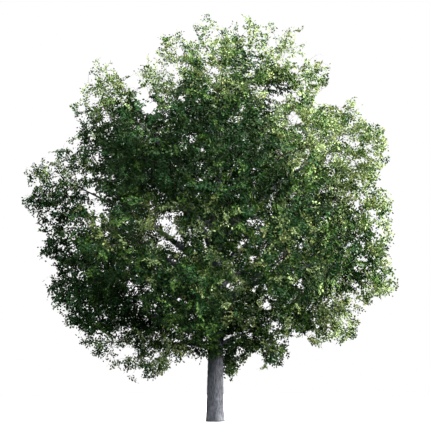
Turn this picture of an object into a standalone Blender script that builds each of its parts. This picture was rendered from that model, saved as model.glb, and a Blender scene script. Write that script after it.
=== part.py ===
"""A field-grown elm tree: one trunk, its boughs, and the masses of foliage that they carry.

Metres, +Z up. The origin is the middle of the flat cut under the trunk, at ground level, and the
view that shows the tree's best side looks along +Y with +X to the right.
"""

import math
from dataclasses import dataclass, field

import bmesh
import bpy
import numpy as np
from mathutils import Matrix, Vector
from mathutils.bvhtree import BVHTree

# Driving sizes of the trunk
TRUNK_RADIUS = 0.256
TRUNK_TIP_HEIGHT = 8.75
TRUNK_TAPER_HEIGHT = 11.2
TRUNK_TAPER_POWER = 0.92
TRUNK_TIP_LEAN = Vector((0.16, 0.02))
TRUNK_SWAY = Vector((0.035, -0.021))
TRUNK_SWAY_BENDS = 2.6
TRUNK_SIDES = 14
TRUNK_RINGS = 10
FLARE_WIDTH = 0.024
FLARE_HEIGHT = 0.22
FLARE_RIDGES = 5
FLARE_RIDGE_DEPTH = 0.05
FLARE_RING_HEIGHTS = (0.0, 0.09, 0.24, 0.48)

# Driving sizes of the boughs
BOUGH_SIDES = 6
BOUGH_RINGS = 5
BOUGH_RISE = 0.13
BOUGH_CONTROL_SHARE = 0.55
BOUGH_END_SHARE = 0.96
BOUGH_TIP_RADIUS = 0.036
BOUGH_THICKNESS_PER_LENGTH = 0.021
BOUGH_TAPER_POWER = 0.8
BOUGH_MOST_OF_TRUNK = 0.62
COLLAR_SWELL = 0.3
COLLAR_SHARE = 0.13
JOINT_GAP = 0.0003

# Driving sizes of the foliage
SPACE_WALL = 0.05
LIMB_CLEARANCE = 0.02
STEM_SHARE = 0.68
STEM_JOINTS = (0.0, 0.5, 1.0)
STEM_TAPER = 0.5
STEM_SIDES = 4
TWIG_SIDES = 3
TWIG_TIP_RADIUS = 0.016
TWIG_PATH_WEIGHT = 0.35
TWIG_OVERRUN = 0.03
TWIG_SHORTEST = 0.12
TWIG_LEAST_FORWARD = 0.1
TIPS_PER_MASS = 2.92
TIPS_PER_REACH = 1.6
TIP_SPREAD = (0.22, 0.56)
TIP_CROWDING_POWER = 0.6
TIP_CANDIDATES = 14
LEADER_SHARE = 0.42
LEAF_LENGTHS = (0.34, 0.74)
LEAF_LONGEST = 0.98
LEAF_LEAST_SHARE = 0.85
LEAF_WIDTH_SHARE = 0.36
LEAF_WIDEST_SHARE = 0.44
LEAF_THICKNESS = 0.018
LEAF_SINK = 0.014
LEAF_EDGE_ROOM = 0.01
LEAF_OUTWARD_PULL = 0.3
LEAF_STRAY = (0.15, 0.12)
LEAF_TRIES = 10
SEED = 100

# The standpoint of the best view, and the middle of the crown
EYE = Vector((0.0, -35.0, 2.4))
CROWN_MIDDLE = Vector((0.0, 0.0, 5.92))


@dataclass
class Mass:
    """One mass of foliage: its middle, its reach, and how high on the trunk its limb starts."""

    name: str
    centre: tuple
    reach: float
    foot: float
    direct: bool = False
    walls: list = field(default_factory=list)

    def middle(self):
        """The middle of the mass's space."""
        return Vector(self.centre)

    def holds(self, point):
        """Whether a point is in the mass's own space."""
        offset = point - self.middle()
        if offset.length > self.reach:
            return False
        return all(offset.dot(normal) <= position for normal, position in self.walls)

    def room_along(self, point, direction):
        """The way from a point to the edge of the mass's space in a direction."""
        offset = point - self.middle()
        half = offset.dot(direction)
        room = math.sqrt(max(half**2 - offset.length_squared + self.reach**2, 0.0)) - half
        for normal, position in self.walls:
            approach = direction.dot(normal)
            if approach > 0.0:
                room = min(room, (position - offset.dot(normal)) / approach)
        return room


# The masses from the top down. A direct one sits on the trunk and has no bough.
MASSES = [
    Mass("top", (0.30, 0.00, 10.75), 1.25, TRUNK_TIP_HEIGHT, direct=True),
    Mass("top_left", (-1.05, 0.55, 10.10), 1.20, 7.75),
    Mass("top_right", (2.00, -0.30, 10.30), 1.15, 7.40),
    Mass("front_top", (0.15, -2.20, 9.35), 1.60, 6.95),
    Mass("back_top", (0.45, 2.40, 9.25), 1.60, 6.70),
    Mass("upper_left", (-3.10, -0.50, 9.22), 1.10, 6.00),
    Mass("upper_right", (3.00, 0.90, 9.05), 1.20, 6.25),
    Mass("right_high", (3.85, -0.80, 7.95), 1.22, 5.15),
    Mass("left_high", (-2.95, 0.80, 7.85), 1.25, 5.40),
    Mass("front_high_left", (-1.75, -2.85, 7.75), 1.60, 4.60),
    Mass("front_high_right", (2.05, -2.95, 7.50), 1.65, 4.80),
    Mass("back_high_left", (-2.00, 3.00, 7.50), 1.65, 4.90),
    Mass("back_high_right", (2.10, 3.05, 7.60), 1.65, 5.50),
    Mass("front_mid", (0.10, -3.10, 6.20), 1.45, 3.90),
    Mass("back_mid", (-0.10, 3.30, 6.10), 1.50, 4.45),
    Mass("left_mid", (-4.35, -0.50, 6.80), 1.28, 4.15),
    Mass("right_mid", (3.95, 0.90, 6.55), 1.28, 4.30),
    Mass("front_mid_left", (-2.60, -2.75, 5.20), 1.65, 3.40),
    Mass("front_mid_right", (2.30, -2.90, 4.75), 1.70, 2.95),
    Mass("back_mid_left", (-2.65, 2.90, 4.85), 1.70, 3.60),
    Mass("back_mid_right", (2.65, 2.95, 5.00), 1.70, 3.75),
    Mass("right_low", (4.08, -0.60, 4.65), 1.28, 3.35),
    Mass("left_low", (-4.00, 0.60, 4.50), 1.35, 3.00),
    Mass("front_low", (-0.55, -3.00, 3.55), 1.50, 2.35),
    Mass("back_low", (0.35, 3.10, 3.50), 1.50, 2.30),
    Mass("lower_right", (3.05, 0.40, 3.35), 1.30, 2.60),
    Mass("lower_left", (-3.30, -0.60, 3.15), 1.25, 2.45),
    Mass("under_right", (1.75, -0.70, 2.75), 1.08, 2.10),
    Mass("hanging_left", (-2.15, 0.30, 2.25), 1.15, 2.00),
    Mass("under_left", (-1.05, -0.60, 2.55), 0.98, 2.75, direct=True),
    Mass("under_centre", (0.75, 0.70, 2.00), 0.98, 2.25, direct=True),
]


@dataclass
class SkyGap:
    """A line of sight that stays free of leaves: where it crosses the crown's middle plane."""

    across: float
    height: float
    radius: float

    def blocks(self, point):
        """Whether a point lies in the open line of sight, which widens with the way from the eye."""
        line = Vector((self.across, 0.0, self.height)) - EYE
        offset = point - EYE
        share = offset.dot(line) / line.length_squared
        return (offset - line * share).length < self.radius * share


SKY_GAPS = [
    SkyGap(-3.52, 6.77, 0.20),
    SkyGap(-1.45, 5.70, 0.17),
    SkyGap(-1.05, 5.32, 0.13),
    SkyGap(-1.95, 9.12, 0.14),
    SkyGap(2.35, 8.70, 0.17),
    SkyGap(2.82, 7.37, 0.14),
    SkyGap(2.53, 3.80, 0.16),
    SkyGap(-1.02, 3.50, 0.14),
    SkyGap(0.20, 2.50, 0.13),
    SkyGap(0.41, 3.95, 0.11),
    SkyGap(1.34, 5.63, 0.10),
    SkyGap(0.61, 8.70, 0.10),
]


@dataclass
class Limb:
    """A bough: the points along its middle and the radius at each."""

    points: list
    radii: list


@dataclass
class Stem:
    """Where the stem of a mass starts, which way it points and how thick it is there."""

    foot: Vector
    direction: Vector
    radius: float


@dataclass
class Twig:
    """One twig: the twig that it leaves, its points and how many tips it carries."""

    parent: int
    points: list
    load: int = 1
    radii: list = field(default_factory=list)


@dataclass
class Joint:
    """A place where further twigs can leave a twig, and its way from the stem's foot."""

    twig: int
    point: Vector
    path: float
    heading: Vector


def trunk_centre(height):
    """The trunk's middle at a height: a slight sway and a lean towards the tip."""
    share = height / TRUNK_TIP_HEIGHT
    sway = TRUNK_SWAY * (math.sin(TRUNK_SWAY_BENDS * math.pi * share) * share)
    lean = TRUNK_TIP_LEAN * share**2
    return Vector((lean.x + sway.x, lean.y + sway.y, height))


def trunk_radius(height):
    """The trunk's radius at a height, flare left out."""
    return TRUNK_RADIUS * (1.0 - height / TRUNK_TAPER_HEIGHT) ** TRUNK_TAPER_POWER


def trunk_ring(height, extra):
    """The ring of points round the trunk at a height, with the root flare near the ground."""
    middle = trunk_centre(height)
    fade = math.exp(-height / FLARE_HEIGHT)
    ring = []
    for side in range(TRUNK_SIDES):
        angle = 2.0 * math.pi * side / TRUNK_SIDES
        ridge = 1.0 + FLARE_RIDGE_DEPTH * fade * math.cos(FLARE_RIDGES * angle)
        radius = (trunk_radius(height) + FLARE_WIDTH * fade) * ridge + extra
        ring.append(middle + radius * Vector((math.cos(angle), math.sin(angle), 0.0)))
    return ring


def trunk_rings(extra=0.0):
    """All rings of the trunk, from the flat cut at the ground to the fork."""
    heights = list(FLARE_RING_HEIGHTS)
    first = FLARE_RING_HEIGHTS[-1]
    for step in range(1, TRUNK_RINGS):
        heights.append(first + (TRUNK_TIP_HEIGHT - first) * step / (TRUNK_RINGS - 1))
    return [trunk_ring(height, extra) for height in heights]


def frames_along(points):
    """Two cross directions at each point, turning as little as possible."""
    directions = []
    for step in range(len(points)):
        before = points[max(step - 1, 0)]
        after = points[min(step + 1, len(points) - 1)]
        directions.append((after - before).normalized())
    side = directions[0].orthogonal()
    frames = []
    for direction in directions:
        side = (side - direction * side.dot(direction)).normalized()
        frames.append((side, direction.cross(side)))
    return frames


def tube_rings(points, radii, sides, extra=0.0):
    """The rings of a round limb along its middle."""
    rings = []
    for point, radius, (side, up) in zip(points, radii, frames_along(points)):
        ring = []
        for corner in range(sides):
            angle = 2.0 * math.pi * corner / sides
            ring.append(point + (radius + extra) * (math.cos(angle) * side + math.sin(angle) * up))
        rings.append(ring)
    return rings


def loft(rings):
    """Points and faces of a closed solid through rings that run counter-clockwise."""
    sides = len(rings[0])
    points = [point for ring in rings for point in ring]
    faces = [tuple(reversed(range(sides)))]
    for low in range(0, len(points) - sides, sides):
        for corner in range(sides):
            following = (corner + 1) % sides
            faces.append((low + corner, low + following, low + sides + following, low + sides + corner))
    faces.append(tuple(range(len(points) - sides, len(points))))
    return points, faces


def joined(shapes):
    """Points and faces of several shapes taken together."""
    points, faces = [], []
    for more_points, more_faces in shapes:
        first = len(points)
        points.extend(more_points)
        faces.extend(tuple(first + corner for corner in face) for face in more_faces)
    return points, faces


def leaf_shape(root, direction, face, length):
    """Points and faces of one flat eight-sided leaf that stands for a spray."""
    across = direction.cross(face).normalized()
    widest = root + direction * (length * LEAF_WIDEST_SHARE)
    half_width = across * (length * LEAF_WIDTH_SHARE)
    half_thick = across.cross(direction) * (LEAF_THICKNESS / 2.0)
    points = [
        root,
        widest + half_width,
        root + direction * length,
        widest - half_width,
        widest + half_thick,
        widest - half_thick,
    ]
    faces = []
    for corner in range(4):
        following = (corner + 1) % 4
        faces.append((corner, following, 4))
        faces.append((following, corner, 5))
    return points, faces


def new_object(name, points, faces, material=None):
    """A mesh object from points and faces."""
    mesh = bpy.data.meshes.new(name)
    mesh.from_pydata([tuple(point) for point in points], [], faces)
    mesh.update()
    if material:
        mesh.materials.append(material)
    made = bpy.data.objects.new(name, mesh)
    bpy.context.scene.collection.objects.link(made)
    return made


def apply_modifiers(target):
    """Turn the object's evaluated shape into its own mesh."""
    bpy.context.view_layer.update()
    depsgraph = bpy.context.evaluated_depsgraph_get()
    shape = bpy.data.meshes.new_from_object(target.evaluated_get(depsgraph))
    target.modifiers.clear()
    target.data = shape


def make_material(name, colour, roughness):
    """A plain material of one colour."""
    made = bpy.data.materials.new(name)
    made.use_nodes = True
    shader = made.node_tree.nodes["Principled BSDF"]
    shader.inputs["Base Color"].default_value = (*colour, 1.0)
    shader.inputs["Roughness"].default_value = roughness
    shader.inputs["Metallic"].default_value = 0.0
    return made


def plan_bough(mass):
    """The bough of a mass: it leaves the trunk, bends outward and ends where the mass begins."""
    start = trunk_centre(mass.foot)
    middle = mass.middle()
    way = middle - start
    clear = way.length - mass.reach
    rise = Vector((0.0, 0.0, BOUGH_RISE * clear))
    control = start + way.normalized() * (BOUGH_CONTROL_SHARE * clear) + rise
    end = middle + (control - middle).normalized() * (BOUGH_END_SHARE * mass.reach)
    shares = [step / (BOUGH_RINGS - 1) for step in range(BOUGH_RINGS)]
    points = [start.lerp(control, share).lerp(control.lerp(end, share), share) for share in shares]
    length = sum((after - before).length for before, after in zip(points, points[1:]))
    thickest = BOUGH_MOST_OF_TRUNK * trunk_radius(mass.foot)
    foot_radius = min(thickest, BOUGH_TIP_RADIUS + BOUGH_THICKNESS_PER_LENGTH * length)
    radii = []
    for share in shares:
        swell = 1.0 + COLLAR_SWELL * math.exp(-share / COLLAR_SHARE)
        taper = foot_radius + (BOUGH_TIP_RADIUS - foot_radius) * share**BOUGH_TAPER_POWER
        radii.append(min(taper * swell, thickest))
    return Limb(points, radii)


def plan_stem(mass, limbs):
    """The stem of a mass: it carries on from its bough's tip, or leaves the trunk."""
    if mass.name in limbs:
        before, tip = limbs[mass.name].points[-2:]
        direction = (tip - before).normalized()
        return Stem(tip + direction * JOINT_GAP, direction, BOUGH_TIP_RADIUS)
    start = trunk_centre(mass.foot)
    if mass.foot == TRUNK_TIP_HEIGHT:
        upward = Vector((0.0, 0.0, 1.0))
        return Stem(start + upward * JOINT_GAP, upward, trunk_radius(mass.foot))
    return Stem(start, (mass.middle() - start).normalized(), BOUGH_TIP_RADIUS)


def raise_walls():
    """Give each mass its flat walls, which keep its space apart from its neighbours' spaces."""
    for mass in MASSES:
        for other in MASSES:
            way = other.middle() - mass.middle()
            distance = way.length
            if other is mass or distance >= mass.reach + other.reach:
                continue
            position = (distance**2 + mass.reach**2 - other.reach**2) / (2.0 * distance)
            mass.walls.append((way / distance, position - SPACE_WALL / 2.0))


def in_sky_gap(points):
    """Whether any of the points lies in an open line of sight."""
    return any(gap.blocks(point) for gap in SKY_GAPS for point in points)


def random_direction(rng):
    """A direction drawn evenly from all directions."""
    return Vector(rng.normal(size=3)).normalized()


def scatter_tips(mass, rng):
    """Places for twig tips in a mass's space: one leads outward and the rest spread evenly."""
    outward = (mass.middle() - CROWN_MIDDLE).normalized()
    tips = [mass.middle() + outward * (LEADER_SHARE * mass.reach)]
    wanted = round(TIPS_PER_MASS + TIPS_PER_REACH * mass.reach)
    least, most = TIP_SPREAD
    for _ in range(wanted * 3):
        if len(tips) == wanted:
            break
        best, best_space = None, -1.0
        for _ in range(TIP_CANDIDATES):
            share = least + (most - least) * rng.random() ** TIP_CROWDING_POWER
            point = mass.middle() + random_direction(rng) * (share * mass.reach)
            space = min((point - tip).length for tip in tips)
            if space > best_space and mass.holds(point):
                best, best_space = point, space
        if best and not in_sky_gap([best]):
            tips.append(best)
    return tips


def nearest_joint(joints, tip):
    """The joint from which a twig to the tip is shortest, or None if none points its way."""
    best, best_cost = None, math.inf
    for joint in joints:
        way = tip - joint.point
        if way.length < TWIG_SHORTEST or way.normalized().dot(joint.heading) < TWIG_LEAST_FORWARD:
            continue
        cost = way.length + TWIG_PATH_WEIGHT * joint.path
        if cost < best_cost:
            best, best_cost = joint, cost
    return best


def grow_twigs(mass, stem, rng, limb_tree):
    """Twigs that branch from one stem out to the scattered tips."""
    length = STEM_SHARE * (mass.middle() - stem.foot).length
    points = [stem.foot + stem.direction * (length * share) for share in STEM_JOINTS]
    twigs = [Twig(-1, points, 0)]
    joints = [Joint(0, point, (point - stem.foot).length, stem.direction) for point in points[1:]]
    for tip in sorted(scatter_tips(mass, rng), key=lambda tip: (tip - stem.foot).length):
        joint = nearest_joint(joints, tip)
        if not joint:
            continue
        middle = joint.point.lerp(tip, 0.5)
        shape = loft(tube_rings([joint.point, tip], [2.0 * TWIG_TIP_RADIUS] * 2, TWIG_SIDES))
        blocked = BVHTree.FromPolygons(*shape).overlap(limb_tree)
        if blocked or not mass.holds(middle) or in_sky_gap([middle]):
            continue
        way = tip - joint.point
        heading = way.normalized()
        joints.append(Joint(len(twigs), middle, joint.path + way.length / 2.0, heading))
        joints.append(Joint(len(twigs), tip, joint.path + way.length, heading))
        twigs.append(Twig(joint.twig, [joint.point, middle, tip]))
    for twig in reversed(twigs[1:]):
        twigs[twig.parent].load += twig.load
    for twig in twigs[1:]:
        thick = TWIG_TIP_RADIUS * math.sqrt(twig.load)
        twig.radii = [thick, (thick + TWIG_TIP_RADIUS) / 2.0, TWIG_TIP_RADIUS]
    twigs[0].radii = [stem.radius * (1.0 - STEM_TAPER * share) for share in STEM_JOINTS]
    return twigs


def twig_shape(twig, is_stem):
    """Points and faces of one twig, which runs on a little so that what leaves its tip is joined."""
    points, radii = list(twig.points), twig.radii
    points[-1] = points[-1] + (points[-1] - points[-2]).normalized() * TWIG_OVERRUN
    if is_stem:
        return loft(tube_rings(points, radii, STEM_SIDES))
    if twig.load == 1:
        points, radii = [points[0], points[-1]], [radii[0], radii[-1]]
    return loft(tube_rings(points, radii, TWIG_SIDES))


def leaf_places(twig, rng):
    """The leaves of one twig lie in a flat spray: the root, rough direction and face of each."""
    start, middle, tip = twig.points
    along = (tip - start).normalized()
    side = along.cross(random_direction(rng)).normalized()
    face = along.cross(side)
    return [
        (tip + along * (TWIG_OVERRUN - LEAF_SINK), along, face),
        (middle.lerp(tip, 0.45), (along * 0.45 + side).normalized(), face),
        (start.lerp(middle, 0.75), (along * 0.4 - side).normalized(), face),
    ]


def add_leaf(mass, place, rng, obstacles):
    """One leaf that keeps to the mass's space and crosses nothing but its own twig, or None."""
    root, rough_direction, rough_face = place
    outward = (root - mass.middle()).normalized() * LEAF_OUTWARD_PULL
    shortest, longest = (mass.reach * share for share in LEAF_LENGTHS)
    longest = min(longest, LEAF_LONGEST)
    for attempt in range(LEAF_TRIES):
        stray = LEAF_STRAY[0] + LEAF_STRAY[1] * attempt
        direction = (rough_direction + outward + random_direction(rng) * stray).normalized()
        face = (rough_face + random_direction(rng) * stray).normalized()
        wanted = longest * (LEAF_LEAST_SHARE + (1.0 - LEAF_LEAST_SHARE) * rng.random())
        length = min(mass.room_along(root, direction) - LEAF_EDGE_ROOM, wanted)
        if length < shortest:
            continue
        points, faces = leaf_shape(root, direction, face, length)
        midrib = [root.lerp(points[2], share) for share in (0.25, 0.5, 0.75)]
        if not all(mass.holds(point) for point in points[1:4]) or in_sky_gap(points[1:4] + midrib):
            continue
        tree = BVHTree.FromPolygons(points, faces)
        if not any(tree.overlap(other) for other in obstacles):
            return points, faces, tree
    return None


def mass_shapes(mass, stem, rng, limb_tree):
    """The shapes that one mass is fused from: stem, twigs and leaves."""
    twigs = grow_twigs(mass, stem, rng, limb_tree)
    shapes = [twig_shape(twig, number == 0) for number, twig in enumerate(twigs)]
    twig_trees = [BVHTree.FromPolygons(*shape) for shape in shapes]
    leaf_trees = []
    for number, twig in enumerate(twigs):
        others = twig_trees[:number] + twig_trees[number + 1 :] + [limb_tree]
        for place in leaf_places(twig, rng):
            leaf = add_leaf(mass, place, rng, others + leaf_trees)
            if leaf:
                points, faces, tree = leaf
                shapes.append((points, faces))
                leaf_trees.append(tree)
    return shapes


def is_one_closed_body(mesh):
    """Whether every edge joins two faces and all faces hang together."""
    check = bmesh.new()
    check.from_mesh(mesh)
    check.verts.ensure_lookup_table()
    reached = {check.verts[0]}
    ahead = [check.verts[0]]
    while ahead:
        for edge in ahead.pop().link_edges:
            fresh = [vert for vert in edge.verts if vert not in reached]
            reached.update(fresh)
            ahead.extend(fresh)
    closed = all(len(edge.link_faces) == 2 for edge in check.edges)
    single = len(reached) == len(check.verts)
    check.free()
    return closed and single


def fuse(name, shapes, material):
    """One solid from all shapes by a union on their collection."""
    base = new_object(name, *shapes[0], material)
    stem = base.data
    group = bpy.data.collections.new(name + "_pieces")
    for shape in shapes[1:]:
        piece = new_object(name + "_piece", *shape)
        bpy.context.scene.collection.objects.unlink(piece)
        group.objects.link(piece)
    for solver in ("EXACT", "MANIFOLD"):
        base.data = stem
        union = base.modifiers.new("union", "BOOLEAN")
        union.operation = "UNION"
        union.operand_type = "COLLECTION"
        union.collection = group
        union.solver = solver
        apply_modifiers(base)
        if is_one_closed_body(base.data):
            break
    for piece in list(group.objects):
        bpy.data.objects.remove(piece)
    bpy.data.collections.remove(group)
    return base


def cut_foot(body, cutter_shape):
    """Trim the foot of a bough or stem to the trunk's surface."""
    cutter = new_object("clearance", *cutter_shape)
    cut = body.modifiers.new("foot", "BOOLEAN")
    cut.operation = "DIFFERENCE"
    cut.object = cutter
    cut.solver = "EXACT"
    apply_modifiers(body)
    bpy.data.objects.remove(cutter)


def clear_scene():
    """Remove whatever the scene holds."""
    for old in list(bpy.data.objects):
        bpy.data.objects.remove(old)


def main():
    """Build the trunk, then each bough, then each mass at its bough's tip."""
    clear_scene()
    bark = make_material("bark", (0.34, 0.31, 0.30), 0.9)
    foliage = make_material("foliage", (0.10, 0.21, 0.07), 0.8)
    tree = bpy.data.objects.new("elm_tree", None)
    bpy.context.scene.collection.objects.link(tree)
    made = [new_object("trunk", *loft(trunk_rings()), bark)]

    limbs = {mass.name: plan_bough(mass) for mass in MASSES if not mass.direct}
    trunk_clearance = loft(trunk_rings(JOINT_GAP))
    blocked = [loft(trunk_rings(LIMB_CLEARANCE))]
    for name, limb in limbs.items():
        rings = tube_rings(limb.points, limb.radii, BOUGH_SIDES)
        bough = new_object("bough_" + name, *loft(rings), bark)
        cut_foot(bough, trunk_clearance)
        made.append(bough)
        blocked.append(loft(tube_rings(limb.points, limb.radii, BOUGH_SIDES, LIMB_CLEARANCE)))

    limb_tree = BVHTree.FromPolygons(*joined(blocked))
    raise_walls()
    for number, mass in enumerate(MASSES):
        rng = np.random.default_rng(SEED + number)
        shapes = mass_shapes(mass, plan_stem(mass, limbs), rng, limb_tree)
        body = fuse("mass_" + mass.name, shapes, foliage)
        if mass.direct and mass.foot < TRUNK_TIP_HEIGHT:
            cut_foot(body, trunk_clearance)
        made.append(body)

    for part in made:
        part.parent = tree
        part.matrix_parent_inverse = Matrix.Identity(4)


if __name__ == "__main__":
    main()
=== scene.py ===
"""The looks of the elm tree: furrowed bark, branching twigs and sprays of single leaves.

Metres, +Z up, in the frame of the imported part. The camera looks along +Y at the tree's best side.
The limbs and the masses of foliage are worked out again from the sizes that the solids come from,
and each mass is carried on from its few thick twigs to fine ones that bear leaves of real size.
"""

import logging
import math
from dataclasses import dataclass, field, fields
from enum import Enum
from typing import Self

import bpy
import numpy as np
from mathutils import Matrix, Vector


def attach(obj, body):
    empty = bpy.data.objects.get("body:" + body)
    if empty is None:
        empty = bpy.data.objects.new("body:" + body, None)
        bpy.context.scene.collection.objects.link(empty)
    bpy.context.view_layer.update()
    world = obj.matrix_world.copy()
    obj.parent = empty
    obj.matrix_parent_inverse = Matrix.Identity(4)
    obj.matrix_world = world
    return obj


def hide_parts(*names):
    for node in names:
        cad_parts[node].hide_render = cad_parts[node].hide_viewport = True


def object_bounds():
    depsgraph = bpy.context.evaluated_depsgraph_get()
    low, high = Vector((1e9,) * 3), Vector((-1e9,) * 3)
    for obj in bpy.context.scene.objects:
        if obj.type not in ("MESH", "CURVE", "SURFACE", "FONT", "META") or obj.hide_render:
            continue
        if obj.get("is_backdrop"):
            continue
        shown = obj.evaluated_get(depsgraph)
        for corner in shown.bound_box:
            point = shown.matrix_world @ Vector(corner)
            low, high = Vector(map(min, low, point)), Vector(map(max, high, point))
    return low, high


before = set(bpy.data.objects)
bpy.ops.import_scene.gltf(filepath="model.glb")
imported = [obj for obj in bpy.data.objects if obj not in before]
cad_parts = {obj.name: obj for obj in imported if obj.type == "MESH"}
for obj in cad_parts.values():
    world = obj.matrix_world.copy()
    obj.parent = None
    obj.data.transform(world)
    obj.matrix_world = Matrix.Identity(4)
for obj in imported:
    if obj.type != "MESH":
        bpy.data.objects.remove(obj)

LOG = logging.getLogger("elm_tree")
BODY = "root"
TINY = 1e-9
NEARLY_UPRIGHT = 0.9
WHITE = (1.0, 1.0, 1.0, 1.0)

# The standpoint of the best view, what it looks at, and the lens that frames the tree from there
EYE = np.array((0.0, -35.0, 2.4))
CROWN_MIDDLE = np.array((0.0, 0.0, 5.92))
LENS_MM = 101.4
SENSOR_MM = 36.0


def unit(vectors: np.ndarray) -> np.ndarray:
    """The vectors, each scaled to a length of one."""
    return vectors / np.maximum(np.linalg.norm(vectors, axis=-1, keepdims=True), TINY)


def random_directions(rng: np.random.Generator, count: int) -> np.ndarray:
    """Directions drawn evenly from all directions."""
    return unit(rng.normal(size=(count, 3)))


def level_ways(angles: np.ndarray) -> np.ndarray:
    """The level direction at each angle from the right."""
    return np.stack([np.cos(angles), np.sin(angles), np.zeros(len(angles))], axis=1)


def blend_points(start: np.ndarray, end: np.ndarray, share: np.ndarray) -> np.ndarray:
    """The points at a share of the way from each start to each end."""
    return start + (end - start) * np.asarray(share)[..., None]


@dataclass
class MeshData:
    """Points and faces of one piece, gathered from many batches."""

    points: list[np.ndarray] = field(default_factory=list)
    faces: list[np.ndarray] = field(default_factory=list)
    count: int = 0

    def add(self, points: np.ndarray, faces: list[np.ndarray]) -> None:
        """Add a batch of points with the faces that join them.

        Args:
            points: The points, one row each.
            faces: Arrays of corner numbers, where each array's faces have the same number of corners.
        """
        for batch in faces:
            self.faces.append(batch + self.count)
        self.points.append(points)
        self.count += len(points)

    def add_limb(self, rings: np.ndarray) -> None:
        """Add one limb with flat ends, from its rings of points.

        Args:
            rings: The points, ring by ring.
        """
        count, sides = rings.shape[:2]
        ends = [np.arange(sides)[::-1], np.arange(sides) + (count - 1) * sides]
        self.add(rings.reshape(-1, 3), [tube_faces(1, count, sides), np.array(ends)])

    def add_twigs(self, points: np.ndarray, radii: np.ndarray, sides: int) -> None:
        """Add twigs of three rings each, the last of which is closed.

        Args:
            points: The start, middle and tip of each twig.
            radii: The radius of each at its start and its tip.
            sides: How many sides each has.
        """
        ways = ring_ways(*cross_frames(unit(points[:, 2] - points[:, 0])), sides)
        sizes = np.stack([radii[:, 0], radii.mean(axis=1), radii[:, 1]], axis=1)
        rings = points[:, :, None, :] + sizes[:, :, None, None] * ways[:, None, :, :]
        ends = np.arange(len(points))[:, None] * 3 * sides + np.arange(2 * sides, 3 * sides)
        self.add(rings.reshape(-1, 3), [tube_faces(len(points), 3, sides), ends])

    def add_shoots(self, lines: np.ndarray, radii: np.ndarray) -> None:
        """Add thin shoots of three sides, each of which ends in a point.

        Args:
            lines: The points along each shoot.
            radii: The radius at each point but the last.
        """
        rings = radii.shape[1]
        ways = ring_ways(*cross_frames(unit(lines[:, -1] - lines[:, 0])), 3)
        corners = lines[:, :-1, None, :] + radii[:, :, None, None] * ways[:, None, :, :]
        points = np.concatenate([corners.reshape(len(lines), 3 * rings, 3), lines[:, -1:]], axis=1)
        first = np.arange(len(lines))[:, None] * (3 * rings + 1)
        corner, following, last = np.arange(3), np.array((1, 2, 0)), 3 * (rings - 1)
        fans = np.stack([last + corner, last + following, np.full(3, 3 * rings)], axis=1)
        faces = [np.concatenate([first + fan for fan in fans])]
        for low in range(0, last, 3):
            quads = np.stack([low + corner, low + following, low + 3 + following, low + 3 + corner], axis=1)
            faces.append(np.concatenate([first + quad for quad in quads]))
        self.add(points.reshape(-1, 3), faces)

    def build(self, name: str, material: bpy.types.Material, smooth: bool) -> bpy.types.Object:
        """Turn what was gathered into an object.

        Args:
            name: The object's name.
            material: The finish of all its faces.
            smooth: Whether its faces are shaded as one round surface.

        Returns:
            The new mesh object.
        """
        points = np.concatenate(self.points).astype(np.float32)
        corners = np.concatenate([batch.ravel() for batch in self.faces]).astype(np.int32)
        sizes = np.concatenate([np.full(len(batch), batch.shape[1]) for batch in self.faces])
        mesh = bpy.data.meshes.new(name)
        mesh.vertices.add(len(points))
        mesh.vertices.foreach_set("co", points.ravel())
        mesh.loops.add(len(corners))
        mesh.loops.foreach_set("vertex_index", corners)
        mesh.polygons.add(len(sizes))
        mesh.polygons.foreach_set("loop_start", (np.cumsum(sizes) - sizes).astype(np.int32))
        mesh.polygons.foreach_set("use_smooth", np.full(len(sizes), smooth))
        mesh.update(calc_edges=True)
        mesh.materials.append(material)
        made = bpy.data.objects.new(name, mesh)
        bpy.context.scene.collection.objects.link(made)
        LOG.info("%s: %d triangles", name, int((sizes - 2).sum()))
        return made


def dress(piece: bpy.types.Object, nodes: list[str]) -> None:
    """Let a piece ride with the tree in place of some solids.

    Args:
        piece: The piece.
        nodes: The solids that it stands for.
    """
    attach(piece, BODY)
    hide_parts(*nodes)


def tube_faces(count: int, rings: int, sides: int) -> np.ndarray:
    """Corner numbers of the side faces of tubes whose points run ring by ring.

    Args:
        count: How many tubes there are.
        rings: How many rings each has.
        sides: How many points each ring has.

    Returns:
        One row of four corners for each face.
    """
    tube, ring, side = np.meshgrid(range(count), range(rings - 1), range(sides), indexing="ij")
    low = (tube * rings + ring) * sides
    following = (side + 1) % sides
    faces = np.stack([low + side, low + following, low + sides + following, low + sides + side], axis=-1)
    return faces.reshape(-1, 4)


def cross_frames(directions: np.ndarray) -> tuple[np.ndarray, np.ndarray]:
    """Two directions across each direction, and across each other.

    Args:
        directions: The directions, each of a length of one.

    Returns:
        A direction across each, and the one across both.
    """
    upright = np.abs(directions[..., 2:]) >= NEARLY_UPRIGHT
    helper = np.where(upright, np.array((1.0, 0.0, 0.0)), np.array((0.0, 0.0, 1.0)))
    side = unit(np.cross(helper, directions))
    return side, np.cross(directions, side)


def limb_frames(points: np.ndarray) -> tuple[np.ndarray, np.ndarray]:
    """Two cross directions at each point of one limb, turning as little as possible.

    Args:
        points: The points along the limb's middle.

    Returns:
        Both directions at each point.
    """
    directions = unit(np.gradient(points, axis=0))
    side = cross_frames(directions[0])[0]
    sides = []
    for direction in directions:
        side = unit(side - direction * (side @ direction))
        sides.append(side)
    return np.array(sides), np.cross(directions, np.array(sides))


def ring_ways(side: np.ndarray, up: np.ndarray, sides: int) -> np.ndarray:
    """The directions from points on lines to the corners of the rings round them.

    Args:
        side: A direction across the line at each point.
        up: The direction across both.
        sides: How many corners each ring has.

    Returns:
        One direction for each corner of each ring.
    """
    angles = math.tau * np.arange(sides) / sides
    return np.cos(angles)[:, None] * side[:, None, :] + np.sin(angles)[:, None] * up[:, None, :]


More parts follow.
